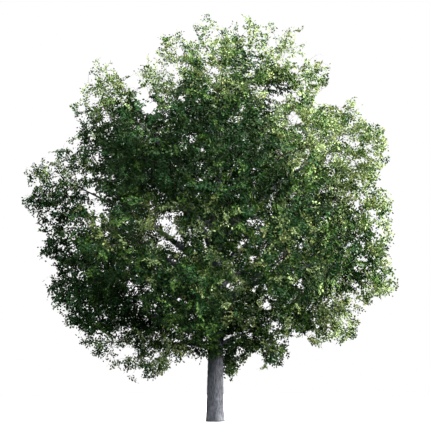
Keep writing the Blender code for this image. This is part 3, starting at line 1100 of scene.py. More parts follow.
class TwigTree:
    """The twigs of one mass, each leaving an earlier one at a joint."""

    joints_per_twig: int = 4

    def __init__(self, capacity: int) -> None:
        """Make room for a number of twigs.

        Args:
            capacity: The most twigs that the tree can have.
        """
        self.points = np.zeros((capacity, 3, 3))
        self.parents = np.full(capacity, -1)
        self.count = 0
        most_joints = self.joints_per_twig * capacity
        self.joint_points = np.zeros((most_joints, 3))
        self.joint_headings = np.zeros((most_joints, 3))
        self.joint_paths = np.zeros(most_joints)
        self.joint_twigs = np.zeros(most_joints, int)
        self.joints = 0

    def add_twig(self, joint: int, middle: np.ndarray, tip: np.ndarray, shares: tuple) -> None:
        """Let a twig leave a joint.

        Args:
            joint: The number of the joint.
            middle: The twig's middle point.
            tip: The twig's tip.
            shares: Where along the twig further twigs may leave it.
        """
        start = self.joint_points[joint]
        self.parents[self.count] = self.joint_twigs[joint]
        self.grow((start, middle, tip), self.joint_paths[joint], shares)

    def grow(self, points: tuple, path: float, shares: tuple) -> None:
        """Add a twig's points and joints.

        Args:
            points: Its start, middle and tip.
            path: The way from the stem's foot to its start.
            shares: Where along the twig further twigs may leave it.
        """
        start, middle, tip = points
        self.points[self.count] = start, middle, tip
        length = np.linalg.norm(tip - start)
        for share in shares:
            half = share * 2.0
            below, above = start + (middle - start) * half, middle + (tip - middle) * (half - 1.0)
            place = below if half < 1.0 else above
            self.add_joint(place, (tip - start) / max(length, TINY), path + length * share, self.count)
        self.count += 1

    def add_joint(self, place: np.ndarray, heading: np.ndarray, path: float, twig: int) -> None:
        """Add a joint that further twigs may leave.

        Args:
            place: Where it is.
            heading: The direction of the twig that it is on.
            path: The way from the stem's foot to the joint.
            twig: The number of the twig that it is on.
        """
        self.joint_points[self.joints] = place
        self.joint_headings[self.joints] = heading
        self.joint_paths[self.joints] = path
        self.joint_twigs[self.joints] = twig
        self.joints += 1

    def nearest(self, tip: np.ndarray, rule: ThickTwigRule | FineTwigRule) -> int:
        """The joint from which a twig to the tip is shortest.

        Args:
            tip: Where the twig would end.
            rule: The rule that says which joints will do.

        Returns:
            The joint's number, or -1 if none points the tip's way.
        """
        ways = tip - self.joint_points[: self.joints]
        lengths = np.linalg.norm(ways, axis=1)
        forward = (ways * self.joint_headings[: self.joints]).sum(axis=1)
        costs = lengths + rule.path_weight * self.joint_paths[: self.joints]
        costs[(lengths < rule.shortest) | (forward < rule.least_forward * lengths)] = np.inf
        best = int(costs.argmin())
        return best if np.isfinite(costs[best]) else -1

    def loads(self) -> np.ndarray:
        """How many tips each twig carries.

        Returns:
            One number for each twig.
        """
        loads = np.ones(self.count)
        for twig in range(self.count - 1, 0, -1):
            loads[self.parents[twig]] += loads[twig]
        return loads


@dataclass
class MassGrowth:
    """Grows the twigs of one mass, thick ones first."""

    mass: Mass
    number: int
    trunk: Trunk
    bough: Bough | None
    thick: ThickTwigRule = ThickTwigRule()
    fine: FineTwigRule = FineTwigRule()
    most_twigs: int = 4000

    def stem(self) -> tuple[np.ndarray, np.ndarray]:
        """Where the stem starts and which way it points.

        Returns:
            Its foot and its direction.
        """
        if self.bough:
            return self.bough.line(np.array(1.0)), self.bough.heading()
        start = self.trunk.centres(self.mass.foot)
        if self.mass.foot == self.trunk.tip_height:
            return start, np.array((0.0, 0.0, 1.0))
        return start, unit(self.mass.middle - start)

    def thick_tips(self, rng: np.random.Generator) -> list[np.ndarray]:
        """Tips of the thick twigs: one leads outward and the rest spread evenly.

        Args:
            rng: The source of the random draws.

        Returns:
            The tips.
        """
        rule, mass = self.thick, self.mass
        tips = [mass.middle + unit(mass.middle - CROWN_MIDDLE) * (rule.leader_share * mass.reach)]
        wanted = round(rule.tips_per_mass + rule.tips_per_reach * mass.reach)
        least, most = rule.spread
        for _ in range(wanted * rule.tries_per_tip):
            if len(tips) == wanted:
                break
            best, best_space = None, -1.0
            for _ in range(rule.candidates):
                share = least + (most - least) * rng.random() ** rule.crowding_power
                point = mass.middle + unit(rng.normal(size=3)) * (share * mass.reach)
                space = min(np.linalg.norm(point - tip) for tip in tips)
                if space > best_space and mass.holds(point):
                    best, best_space = point, space
            if best is not None and not in_sky_gap(best[None])[0]:
                tips.append(best)
        return tips

    def fine_tips(self, rng: np.random.Generator, anchors: np.ndarray) -> np.ndarray:
        """Tips of the fine twigs, denser round the thick ones and open where the sky shows.

        Args:
            rng: The source of the random draws.
            anchors: Points on the thick twigs.

        Returns:
            One point a row, nearest to the stem's foot first.
        """
        rule, mass = self.fine, self.mass
        volume = 4.0 / 3.0 * math.pi * mass.reach**3
        count = round(volume * rule.per_cubic_metre * mass.fullness)
        least, most = rule.spread
        shares = (least**3 + (most**3 - least**3) * rng.random(count)) ** (1.0 / 3.0)
        points = mass.middle + random_directions(rng, count) * (shares * mass.reach)[:, None]
        away = np.linalg.norm(points[:, None] - anchors[None], axis=2).min(axis=1)
        chance = rule.clump_least + (1.0 - rule.clump_least) * np.exp(-((away / rule.clump_reach) ** 2))
        from_axis = np.hypot(points[:, 0], points[:, 1]) - rule.thinning_from
        chance *= np.clip(1.0 - rule.thinning_per_metre * from_axis, rule.thinnest, 1.0)
        depth = crown_depth(points)
        chance *= 1.0 - rule.hidden_thinning * np.clip(depth - rule.hidden_from, 0.0, 1.0)
        kept = (rng.random(count) < chance) & (depth > rule.edge_room)
        kept &= mass.within_walls(points) & ~in_sky_gap(points, rule.gap_scale)
        points = points[kept & ~self.trunk.touches(points, rule.trunk_room)]
        return points[np.argsort(np.linalg.norm(points - anchors[0], axis=1))]

    def grow(self) -> tuple[TwigTree, int]:
        """Grow all twigs of the mass.

        Returns:
            The twigs, and how many of them, from the first on, are thick.
        """
        rng = np.random.default_rng(self.thick.seed + self.number)
        foot, heading = self.stem()
        length = self.thick.stem_share * np.linalg.norm(self.mass.middle - foot)
        stem = [foot + heading * (length * share) for share in (0.0, 0.5, 1.0)]
        tree = TwigTree(self.most_twigs)
        tree.grow(tuple(stem), 0.0, self.thick.joint_shares)
        for tip in sorted(self.thick_tips(rng), key=lambda tip: np.linalg.norm(tip - foot)):
            joint = tree.nearest(tip, self.thick)
            if joint >= 0:
                middle = (tree.joint_points[joint] + tip) / 2.0
                tree.add_twig(joint, middle, tip, self.thick.joint_shares)
        thick_count = tree.count
        tree.joints = 0
        for twig in range(thick_count):
            self.offer_joints(tree, twig)
        self.grow_fine(tree, foot)
        return tree, thick_count

    def offer_joints(self, tree: TwigTree, twig: int) -> None:
        """Let fine twigs leave a thick one at places along it.

        Args:
            tree: The mass's twigs.
            twig: The number of the thick twig.
        """
        start, _, tip = tree.points[twig]
        for share in self.thick.fine_joint_shares:
            place = start + (tip - start) * share
            tree.add_joint(place, unit(tip - start), np.linalg.norm(place - tree.points[0][0]), twig)

    def grow_fine(self, tree: TwigTree, foot: np.ndarray) -> None:
        """Add the fine twigs to the thick ones.

        Args:
            tree: The mass's thick twigs, which the fine ones are added to.
            foot: Where the stem starts.
        """
        rule = self.fine
        rng = np.random.default_rng(rule.seed + self.number)
        anchors = np.concatenate([[foot], tree.points[: tree.count, 1], tree.points[: tree.count, 2]])
        for tip in self.fine_tips(rng, anchors):
            joint = tree.nearest(tip, rule)
            if joint < 0:
                continue
            start = tree.joint_points[joint]
            length = np.linalg.norm(tip - start)
            middle = (start + tip) / 2.0 + np.array((0.0, 0.0, rule.rise * length))
            middle += rng.normal(size=3) * (rule.stray * length)
            if length > rule.longest or in_sky_gap(middle[None], rule.gap_scale)[0]:
                continue
            tree.add_twig(joint, middle, tip, rule.joint_shares)


@dataclass(frozen=True)
class InnerTwigRule:
    """How lone leafy twigs leave the boughs and the low trunk, and fill the crown's inside."""

    per_metre: float = 14.0
    places: tuple = (0.10, 1.0)
    lengths: tuple = (0.40, 1.10)
    forward: float = 0.5
    rise: float = 0.06
    edge_room: float = -0.05
    mass_overlap: float = 0.10
    gap_scale: float = 0.7
    trunk_room: float = 0.10
    measuring_points: int = 9
    shoots_with: str = "under_centre"
    shoot_count: int = 80
    shoot_heights: tuple = (1.6, 3.6)
    shoot_lengths: tuple = (0.25, 1.05)
    shoot_foot_share: float = 0.9
    shoot_scatter: float = 0.35
    shoot_droop: float = 0.18
    seed: int = 700

    def twigs(self, bough: Bough, rng: np.random.Generator) -> np.ndarray:
        """The twigs that leave one bough.

        Args:
            bough: The bough.
            rng: The source of the random draws.

        Returns:
            The start, middle and tip of each twig.
        """
        count = round(self.per_metre * bough.length(self.measuring_points))
        starts = bough.line(rng.uniform(*self.places, count))
        ways = unit(random_directions(rng, count) + self.forward * bough.heading())
        ways *= rng.uniform(*self.lengths, count)[:, None]
        tips = starts + ways
        middles = (starts + tips) / 2.0
        middles[:, 2] += self.rise * np.linalg.norm(ways, axis=1)
        kept = (crown_depth(tips) > self.edge_room) & (space_depth(tips) < self.mass_overlap)
        kept &= ~in_sky_gap(tips, self.gap_scale) & ~in_sky_gap(middles, self.gap_scale)
        kept &= ~bough.trunk.touches(tips, self.trunk_room)
        return np.stack([starts, middles, tips], axis=1)[kept]

    def shoots(self, trunk: Trunk, rng: np.random.Generator) -> np.ndarray:
        """The leafy shoots that leave the trunk at the foot of the crown and hang a little.

        Args:
            trunk: The trunk.
            rng: The source of the random draws.

        Returns:
            The start, middle and tip of each shoot.
        """
        count = self.shoot_count
        heights = rng.uniform(*self.shoot_heights, count)
        outward = level_ways(rng.uniform(0.0, math.tau, count))
        starts = trunk.centres(heights) + self.shoot_foot_share * trunk.radii(heights)[:, None] * outward
        lengths = rng.uniform(*self.shoot_lengths, count)[:, None]
        ways = unit(outward + self.shoot_scatter * random_directions(rng, count)) * lengths
        middles = starts + 0.5 * ways
        tips = starts + ways
        tips[:, 2] -= self.shoot_droop * lengths[:, 0]
        return np.stack([starts, middles, tips], axis=1)[crown_depth(tips) > self.edge_room]


@dataclass(frozen=True)
class SprayRule:
    """How leaves sit on a fine twig: a flat spray of a main axis and shorter side axes."""

    leafy_length: float = 0.50
    most_leafy: float = 0.95
    low_start: float = 0.45
    side_places: tuple = (0.22, 0.48, 0.74)
    side_lengths: tuple = (0.14, 0.30)
    side_angle: float = 0.95
    side_angle_stray: float = 0.2
    side_roll: float = 0.45
    side_growth: tuple = (1.15, -0.45)
    spacing: float = 0.045
    first_step: float = 0.6
    step_stray: float = 0.02
    leaf_lengths: tuple = (0.080, 0.118)
    end_shrink: float = 0.18
    leaf_angle: float = 1.0
    end_angle: float = 0.15
    angle_stray: float = 0.3
    leaf_roll: float = 0.6
    petiole: float = 0.012
    leaf_tilt: float = 0.5
    leaf_droop: float = 0.3
    upward: float = 0.50
    outward: float = 0.60
    stray: float = 0.8
    seed: int = 900


@dataclass(frozen=True)
class LeafOutline:
    """The outline of one elm leaf in shares of its length: along the midrib and to each side."""

    left: tuple = ((0.26, 0.29), (0.66, 0.26))
    right: tuple = ((0.20, 0.25), (0.60, 0.30))
    fold: float = 0.30

    def points(self) -> np.ndarray:
        """Six corners as along, across and up: base, left pair, tip, right pair from the tip back.

        Returns:
            One row for each corner.
        """
        rows = [(0.0, 0.0)]
        rows += [(along, across) for along, across in self.left]
        rows += [(1.0, 0.0)]
        rows += [(along, -across) for along, across in reversed(self.right)]
        return np.array([(along, across, self.fold * abs(across)) for along, across in rows])


@dataclass
class Leaves(Rows):
    """Where each leaf sits: root, direction, upper side, length and the number of its spray."""

    roots: np.ndarray
    directions: np.ndarray
    faces: np.ndarray
    lengths: np.ndarray
    sprays: np.ndarray

    def centres(self) -> np.ndarray:
        """The middle of each leaf."""
        return self.roots + self.directions * (self.lengths * 0.5)[:, None]

    def tips(self) -> np.ndarray:
        """The tip of each leaf."""
        return self.roots + self.directions * self.lengths[:, None]

    def mesh(self, outline: LeafOutline) -> MeshData:
        """The leaves as folded blades of four triangles each.

        Args:
            outline: The outline of one leaf.

        Returns:
            The mesh of all the leaves.
        """
        across = unit(np.cross(self.directions, self.faces))
        upper = np.cross(across, self.directions)
        shape = outline.points()
        frame_axes = np.stack([self.directions, across, upper], axis=1)
        points = np.einsum("pk,nkd->npd", shape, frame_axes) * self.lengths[:, None, None]
        points += self.roots[:, None, :]
        first = np.arange(len(self.roots))[:, None] * len(shape)
        halves = np.concatenate([first + np.array((0, 3, 2, 1)), first + np.array((0, 5, 4, 3))])
        mesh = MeshData()
        mesh.add(points.reshape(-1, 3), [halves])
        return mesh


@dataclass
class Axes(Rows):
    """Straight twig ends that bear leaves: start, end, upper side and the number of their spray."""

    starts: np.ndarray
    ends: np.ndarray
    faces: np.ndarray
    sprays: np.ndarray

    def leaves(self, rule: SprayRule, rng: np.random.Generator) -> Leaves:
        """Leaves that alternate along each axis, with one at its end.

        Args:
            rule: How the leaves sit.
            rng: The source of the random draws.

        Returns:
            The leaves of all axes.
        """
        lengths = np.linalg.norm(self.ends - self.starts, axis=1)
        counts = np.maximum(np.round(lengths / rule.spacing).astype(int), 1) + 1
        axis = np.repeat(np.arange(len(counts)), counts)
        order = np.arange(counts.sum()) - np.repeat(np.cumsum(counts) - counts, counts)
        last = order == counts[axis] - 1
        share = np.where(last, 1.0, (order + rule.first_step) / counts[axis])
        share = np.clip(share + rng.normal(size=len(share)) * rule.step_stray, 0.0, 1.0)
        along = unit(self.ends - self.starts)[axis]
        face = self.faces[axis]
        roll = rng.normal(size=(len(axis), 1)) * rule.leaf_roll
        side = unit(np.cross(face, along)) * np.where(order % 2 == 0, 1.0, -1.0)[:, None]
        side = np.cos(roll) * side + np.sin(roll) * face
        angle = np.where(last, rule.end_angle, rule.leaf_angle)
        angle *= 1.0 + rule.angle_stray * rng.normal(size=len(axis))
        direction = np.cos(angle)[:, None] * along + np.sin(angle)[:, None] * side
        direction[:, 2] -= rule.leaf_droop * rng.random(len(axis))
        direction = unit(direction)
        face = unit(face + rng.normal(size=face.shape) * rule.leaf_tilt)
        root = blend_points(self.starts[axis], self.ends[axis], share) + direction * rule.petiole
        shortest, longest = rule.leaf_lengths
        size = shortest + (longest - shortest) * rng.random(len(axis))
        return Leaves(root, direction, face, size * (1.0 - rule.end_shrink * share), self.sprays[axis])


@dataclass(frozen=True)
class PaintedSunlight:
    """How much sunlight the leaf tints paint at each place in the crown: most at the right, the top and the
    crests.
    """

    comes_from: tuple = (0.95, 0.0, 0.30)
    middle: float = -0.16
    swing: float = 0.62
    rim_gain: float = 0.56
    top_gain: float = 0.50
    crest_gain: float = 0.40
    clump_gain: float = 0.16
    deepest_shade: float = -1.2
    top_heights: tuple = (8.9, 10.4)
    rim_from: float = 0.62
    rim_level: float = 0.35
    crest_way: tuple = (0.35, 0.0, 0.70)
    crest_depth: float = 0.60
    half_width: float = 5.4
    half_height: float = 5.8

    def at(self, points: np.ndarray) -> np.ndarray:
        """How much sunlight the tints paint at each point: 0 for painted shade, 1 for full painted sun, and
        less than 0 for the darkest painted shade.

        Args:
            points: The points.

        Returns:
            One number for each point.
        """
        offsets = points - CROWN_MIDDLE
        side = offsets @ unit(np.array(self.comes_from)) / self.half_height
        across, up = offsets[:, 0] / self.half_width, offsets[:, 2] / self.half_height
        rim = np.clip((np.hypot(across, up) - self.rim_from) / (1.0 - self.rim_from), 0.0, 1.0)
        rim *= np.clip(self.rim_level + across + np.abs(up), 0.0, 1.0)
        top = np.interp(points[:, 2], self.top_heights, (0.0, 1.0))
        crest = np.clip(1.0 - crown_depth(points + np.array(self.crest_way)) / self.crest_depth, 0.0, 1.0)
        # Painted sunlight: more towards the light, at the rim, at the top and on the crests that face the
        # light
        sunny = self.middle + self.swing * side + self.rim_gain * rim
        sunny += self.top_gain * top + self.crest_gain * crest
        sunny += gains(points, PAINTED_LIGHT_AND_THINNING_PLACES) + self.clump_gain * TINT_CLUMPS.heights(points)
        return np.clip(sunny, self.deepest_shade, 1.0)


@dataclass(frozen=True)
class Thinning:
    """Where leaves are fewer or smaller: at the outline, in the places of painted sunlight and in the bays.
    """

    edge_depth: float = 0.40
    edge_least: float = 0.62
    small_depths: tuple = (-0.10, 0.35)
    smallest_share: float = 0.80
    pale_share: float = 0.80
    pale_thinning: float = 0.30
    bay_sides: tuple = (-2.4, 1.5, 3.2, 4.2)
    bay_levels: tuple = (1.35, 0.75, 0.80, 1.15)
    bay_heights: tuple = (3.2, 4.4)
    bay_lifts: tuple = (0.40, 0.0)
    bay_slope: float = 1.6
    bay_thinning: float = 0.97

    def chances(self, points: np.ndarray) -> np.ndarray:
        """The share of sprays that keep the leaf that stands at each point.

        Args:
            points: The points.

        Returns:
            One share for each point.
        """
        chances = np.clip(crown_depth(points) / self.edge_depth, self.edge_least, 1.0)
        chances *= 1.0 - self.pale_thinning * paleness(points)
        bays = BAYS.heights(points * (1.0, 0.0, 1.0))
        bays -= np.interp(points[:, 0], self.bay_sides, self.bay_levels)
        bays -= np.interp(points[:, 2], self.bay_heights, self.bay_lifts)
        return chances * (1.0 - self.bay_thinning * np.clip(self.bay_slope * bays, 0.0, 1.0))

    def sizes(self, points: np.ndarray) -> np.ndarray:
        """The share of its full length that a leaf at each point has."""
        sizes = np.interp(crown_depth(points), self.small_depths, (self.smallest_share, 1.0))
        return sizes * (1.0 - (1.0 - self.pale_share) * paleness(points))


@dataclass
class Twigs(Rows):
    """Twigs: their points, radii at both ends, whether they carry no other, and their mass's number."""

    points: np.ndarray
    radii: np.ndarray
    free: np.ndarray
    owners: np.ndarray


@dataclass
class Crown:
    """All twigs and leaves of the tree."""

    trunk: Trunk
    boughs: dict[str, Bough]
    spray: SprayRule = SprayRule()
    inner: InnerTwigRule = InnerTwigRule()
    outline: LeafOutline = LeafOutline()
    sunlight: PaintedSunlight = PaintedSunlight()
    thinning: Thinning = Thinning()
    gap_scales: tuple = (0.05, 1.35)
    edge_rooms: tuple = (-0.08, 0.18)
    trunk_room: float = 0.02
    leaves_per_piece: int = 48000
    tip_radius: float = 0.0022
    load_power: float = 0.46
    parent_share: float = 0.75
    inner_foot_share: float = 2.0
    side_shoot_share: float = 0.8
    thick_sides: int = 6
    fine_sides: int = 3
    thick: Twigs = field(init=False)
    fine: Twigs = field(init=False)
    leafy: np.ndarray = field(init=False)
    shoots: np.ndarray = field(init=False)

    def grow(self) -> None:
        """Grow the twigs of every mass, and the lone ones on the boughs and the low trunk."""
        thick, fine = [], []
        for number, mass in enumerate(MASSES):
            growth = MassGrowth(mass, number, self.trunk, self.boughs.get(mass.name))
            twigs, thick_count = self.mass_twigs(growth)
            thick.append(twigs.taken(slice(thick_count)))
            fine.append(twigs.taken(slice(thick_count, None)))
            rng = np.random.default_rng(self.inner.seed + number)
            if growth.bough:
                fine.append(self.lone_twigs(self.inner.twigs(growth.bough, rng), number))
            elif mass.name == self.inner.shoots_with:
                fine.append(self.lone_twigs(self.inner.shoots(self.trunk, rng), number))
        self.thick, self.fine = Twigs.joined(thick), Twigs.joined(fine)
        LOG.info("%d twigs", len(self.thick.points) + len(self.fine.points))

    def mass_twigs(self, growth: MassGrowth) -> tuple[Twigs, int]:
        """The twigs of one mass, each as thick as what it carries asks for.

        Args:
            growth: What grows the mass.

        Returns:
            The twigs, and how many of them, from the first on, are thick.
        """
        tree, thick_count = growth.grow()
        loads = tree.loads()
        base = self.tip_radius * loads**self.load_power
        tip = np.full(tree.count, self.tip_radius)
        for twig in range(1, tree.count):
            parent = tree.parents[twig]
            tip[parent] = max(tip[parent], self.parent_share * base[twig])
        radii = np.stack([np.maximum(base, tip), tip], axis=1)
        owners = np.full(tree.count, growth.number)
        return Twigs(tree.points[: tree.count], radii, loads == 1.0, owners), thick_count

    def lone_twigs(self, lines: np.ndarray, number: int) -> Twigs:
        """Fine twigs that leave a limb by themselves, counted with a mass.

        Args:
            lines: The start, middle and tip of each twig.
            number: The mass's number.

        Returns:
            The twigs.
        """
        count = len(lines)
        radii = np.full((count, 2), self.tip_radius) * (self.inner_foot_share, 1.0)
        return Twigs(lines, radii, np.ones(count, bool), np.full(count, number))

    def spray_faces(self, rng: np.random.Generator) -> np.ndarray:
        """The upper side of each fine twig's spray, turned up, outward and a little at random.

        Args:
            rng: The source of the random draws.

        Returns:
            One direction for each spray.
        """
        starts, _, tips = np.moveaxis(self.fine.points, 1, 0)
        middles = np.array([mass.centre for mass in MASSES])[self.fine.owners]
        outward = unit(tips - 0.5 * (middles + CROWN_MIDDLE))
        along = unit(tips - starts)
        faces = self.spray.outward * outward + self.spray.stray * random_directions(rng, len(tips))
        faces[:, 2] += self.spray.upward
        faces -= along * (faces * along).sum(axis=1)[:, None]
        return unit(faces)

    def axes(self, rng: np.random.Generator) -> tuple[Axes, Axes]:
        """The leafy axes: the ends of the fine twigs, and the side axes that leave them.

        Args:
            rng: The source of the random draws.

        Returns:
            The main axes and the side axes.
        """
        rule = self.spray
        start, middle, tip = np.moveaxis(self.fine.points, 1, 0)
        sprays = np.arange(len(tip))
        face = self.spray_faces(rng)
        leafy = rule.leafy_length / np.maximum(np.linalg.norm(tip - start, axis=1), TINY)
        leafy = np.minimum(leafy, rule.most_leafy)
        first = 1.0 - leafy
        upper_start = np.where((first < 0.5)[:, None], middle, blend_points(middle, tip, first * 2.0 - 1.0))
        lower_start = blend_points(start, middle, np.minimum(first * 2.0, 1.0))
        upper = Axes(upper_start, tip, face, sprays)
        lower = Axes(lower_start, middle, face, sprays).taken(first < rule.low_start)
        sides = []
        along = unit(tip - middle)
        across = unit(np.cross(face, along))
        least, most = rule.side_lengths
        nearest, per_place = rule.side_growth
        for order, place in enumerate(rule.side_places):
            share = (1.0 - leafy * (1.0 - place)) * 2.0
            below, above = blend_points(start, middle, share), blend_points(middle, tip, share - 1.0)
            foot = np.where((share < 1.0)[:, None], below, above)
            angle = rule.side_angle * (1.0 + rule.side_angle_stray * rng.normal(size=len(tip)))
            turn = np.where((order + sprays) % 2 == 0, 1.0, -1.0)
            roll = rng.normal(size=(len(tip), 1)) * rule.side_roll
            sideways = turn[:, None] * (np.cos(roll) * across + np.sin(roll) * face)
            direction = np.cos(angle)[:, None] * along + np.sin(angle)[:, None] * sideways
            length = (least + (most - least) * rng.random(len(tip))) * (nearest + per_place * place)
            sides.append(Axes(foot, foot + direction * length[:, None], face, sprays))
        return Axes.joined([upper, lower]), Axes.joined(sides)

    def allowed(self, points: np.ndarray, edge_room: np.ndarray, gap_scale: np.ndarray) -> np.ndarray:
        """Whether each point is within the crown's outline and out of open sky and the trunk.

        Args:
            points: The points.
            edge_room: How deep within the outline each point has to be.
            gap_scale: How wide open the sky gaps are for each point.

        Returns:
            One truth value for each point.
        """
        inside = crown_depth(points) > edge_room
        return inside & ~in_sky_gap(points, gap_scale) & ~self.trunk.touches(points, self.trunk_room)

    def deal_tints(self, rng: np.random.Generator) -> np.ndarray:
        """The number of the green that each spray is dealt, paler where sunlight is painted and darker
        where shade is painted.

        Args:
            rng: The source of the random draws.

        Returns:
            One number for each spray, counting through the leaf finishes.
        """
        sunny = self.sunlight.at(self.fine.points[:, 2])[:, None]
        shaded_shares = np.array([finish.shaded_share for finish in LEAF_FINISHES])
        sunny_shares = np.array([finish.sunny_share for finish in LEAF_FINISHES])
        # Painted light and shade: sunnier places draw more of the paler greens
        shares = shaded_shares * (1.0 - sunny) + sunny_shares * sunny
        shares = np.cumsum(np.maximum(shares, 0.0), axis=1)
        draws = rng.random(len(sunny))[:, None] * shares[:, -1:]
        return (draws > shares).sum(axis=1)

    def grow_leaves(self, rng: np.random.Generator) -> Leaves:
        """Grow the leaves, and note which sprays and side shoots bear any.

        Args:
            rng: The source of the random draws.

        Returns:
            The leaves of the whole crown.
        """
        main, side = self.axes(rng)
        count = len(self.fine.points)
        gaps = rng.uniform(*self.gap_scales, count)
        rooms = rng.uniform(*self.edge_rooms, count)
        side = side.taken(self.allowed(side.ends, rooms[side.sprays], gaps[side.sprays]))
        leaves = Leaves.joined([axes.leaves(self.spray, rng) for axes in (main, side)])
        rooms, gaps = rooms[leaves.sprays], gaps[leaves.sprays]
        kept = self.allowed(leaves.centres(), rooms, gaps) & self.allowed(leaves.tips(), rooms, gaps)
        kept &= rng.random(count)[leaves.sprays] < self.thinning.chances(leaves.roots)
        leaves.lengths *= self.thinning.sizes(leaves.roots)
        leaves = leaves.taken(kept)
        self.leafy = np.bincount(leaves.sprays, minlength=count) > 0
        bearing = side.taken(self.leafy[side.sprays])
        self.shoots = np.stack([bearing.starts, bearing.ends], axis=1)
        LOG.info("%d leaves on %d sprays", len(leaves.roots), count)
        return leaves

    def build_leaves(self) -> list[bpy.types.Object]:
        """Build the leaves of each green in pieces.

        Returns:
            The pieces.
        """
        rng = np.random.default_rng(self.spray.seed)
        leaves = self.grow_leaves(rng)
        tints = self.deal_tints(rng)[leaves.sprays]
        pieces = []
        for number, finish in enumerate(LEAF_FINISHES):
            chosen = np.flatnonzero(tints == number)
            material = finish.make()
            parts = math.ceil(len(chosen) / self.leaves_per_piece)
            for part, share in enumerate(np.array_split(chosen, parts), 1):
                mesh = leaves.taken(share).mesh(self.outline)
                pieces.append(mesh.build(f"leaves_{finish.tint.value}_{part}", material, smooth=False))
        return pieces

    def build_twigs(self) -> list[bpy.types.Object]:
        """Build the twigs as one piece and the side shoots that leave them as another.

        Returns:
            Both pieces. End twigs without leaves are left out.
        """
        twigs, shoots, finish = MeshData(), MeshData(), TwigFinish().make()
        pointed = self.fine.radii[:, 1] <= self.tip_radius
        blunt = self.fine.taken(~pointed)
        ends = self.fine.taken(pointed & (self.leafy | ~self.fine.free))
        twigs.add_twigs(self.thick.points, self.thick.radii, self.thick_sides)
        twigs.add_twigs(blunt.points, blunt.radii, self.fine_sides)
        twigs.add_shoots(ends.points, np.stack([ends.radii[:, 0], ends.radii.mean(axis=1)], axis=1))
        thin = np.full((len(self.shoots), 1), self.tip_radius * self.side_shoot_share)
        shoots.add_shoots(self.shoots, thin)
        return [twigs.build("twigs", finish, smooth=True), shoots.build("side_shoots", finish, smooth=True)]


@dataclass(frozen=True)
class Lamp:
    """A far light: where it shines from, its strength, how wide it looks in radians, and its colour."""

    name: str
    way: tuple
    strength: float
    angle: float
    colour: tuple

    def hang(self) -> None:
        """Add the light to the scene."""
        light = bpy.data.lights.new(self.name, "SUN")
        light.energy = self.strength
        light.angle = self.angle
        light.color = self.colour
        made = bpy.data.objects.new(self.name, light)
        made.rotation_euler = Vector(self.way).to_track_quat("Z", "Y").to_euler()
        bpy.context.scene.collection.objects.link(made)


# A key light and a low soft light from the right, and a wide one from above
LAMPS = [
    Lamp("key_light", (0.80, 0.05, 0.62), 11.5, 0.35, (1.0, 0.95, 0.86)),
    Lamp("side_light", (1.0, -0.25, 0.16), 4.0, 0.8, (1.0, 0.96, 0.90)),
    Lamp("dome_light", (0.10, -0.10, 1.0), 5.7, 2.4, (0.95, 0.98, 0.96)),
]


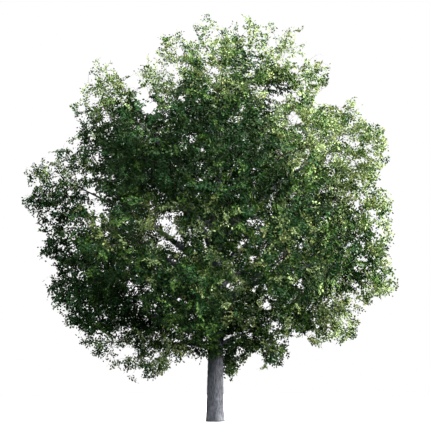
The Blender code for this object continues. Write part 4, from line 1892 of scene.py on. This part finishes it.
@dataclass
class Studio:
    """The plain pale floor, the soft light and the camera."""

    floor_radius: float = 16.0
    floor_sides: int = 96
    floor_colour: tuple = (0.8, 0.8, 0.8)
    floor_glow: float = 0.9
    sky_colour: tuple = (0.86, 0.94, 0.90)
    sky_strength: float = 0.13
    view_reach: float = 200.0

    def set_up(self) -> None:
        """Make the floor, the lights and the camera, and show colours as they are."""
        self.floor()
        for lamp in LAMPS:
            lamp.hang()
        bpy.context.scene.world = self.sky()
        self.camera()
        bpy.context.scene.view_settings.view_transform = "Standard"

    def floor(self) -> None:
        """A pale round floor that glows a little, so that it stays pale under the crown."""
        made = bpy.data.materials.new("studio_floor")
        made.use_nodes = True
        shader = made.node_tree.nodes["Principled BSDF"]
        shader.inputs["Base Color"].default_value = (*self.floor_colour, 1.0)
        shader.inputs["Roughness"].default_value = 1.0
        shader.inputs["Emission Color"].default_value = WHITE
        shader.inputs["Emission Strength"].default_value = self.floor_glow
        corners = np.arange(self.floor_sides)
        mesh = MeshData()
        mesh.add(self.floor_radius * level_ways(math.tau * corners / self.floor_sides), [corners[None]])
        floor = mesh.build("floor", made, smooth=False)
        floor.visible_diffuse = False
        floor.visible_glossy = False
        floor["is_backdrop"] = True

    def sky(self) -> bpy.types.World:
        """A plain white surround that lights the tree only softly.

        Returns:
            The new surround.
        """
        world = bpy.data.worlds.new("studio_sky")
        world.use_nodes = True
        nodes, links = world.node_tree.nodes, world.node_tree.links
        fill = nodes["Background"]
        fill.inputs["Color"].default_value = (*self.sky_colour, 1.0)
        fill.inputs["Strength"].default_value = self.sky_strength
        white = nodes.new("ShaderNodeBackground")
        white.inputs["Color"].default_value = WHITE
        rays = nodes.new("ShaderNodeLightPath")
        mix = nodes.new("ShaderNodeMixShader")
        links.new(rays.outputs["Is Camera Ray"], mix.inputs["Fac"])
        links.new(fill.outputs["Background"], mix.inputs[1])
        links.new(white.outputs["Background"], mix.inputs[2])
        links.new(mix.outputs["Shader"], nodes["World Output"].inputs["Surface"])
        return world

    def camera(self) -> None:
        """The camera at the best view's standpoint."""
        data = bpy.data.cameras.new("camera")
        data.lens = LENS_MM
        data.sensor_width = SENSOR_MM
        data.clip_end = self.view_reach
        made = bpy.data.objects.new("camera", data)
        made.location = Vector(EYE)
        made.rotation_euler = Vector(CROWN_MIDDLE - EYE).to_track_quat("-Z", "Y").to_euler()
        bpy.context.scene.collection.objects.link(made)
        bpy.context.scene.camera = made


def main() -> None:
    """Build the trunk, the boughs and the crown, and then the studio round them."""
    logging.basicConfig(level=logging.INFO, format="%(message)s")
    bark = BarkFinish().make()
    trunk = Trunk()
    dress(trunk.build(bark), ["trunk"])

    boughs = {mass.name: Bough(mass, trunk) for mass in MASSES if not mass.direct}
    bough_mesh = MeshData()
    for bough in boughs.values():
        bough.add_to(bough_mesh)
    dress(bough_mesh.build("boughs_bark", bark, smooth=True), ["bough_" + name for name in boughs])

    for mass in MASSES:
        mass.raise_walls(MASSES, SPACE_WALL)
    crown = Crown(trunk, boughs)
    crown.grow()
    leaf_pieces = crown.build_leaves()
    mass_nodes = ["mass_" + mass.name for mass in MASSES]
    for piece in leaf_pieces:
        dress(piece, mass_nodes)
    for piece in crown.build_twigs():
        dress(piece, mass_nodes)
    Studio().set_up()


if __name__ == "__main__":
    cad_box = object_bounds()
    main()
    [[list(corner) for corner in box] for box in (cad_box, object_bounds())]
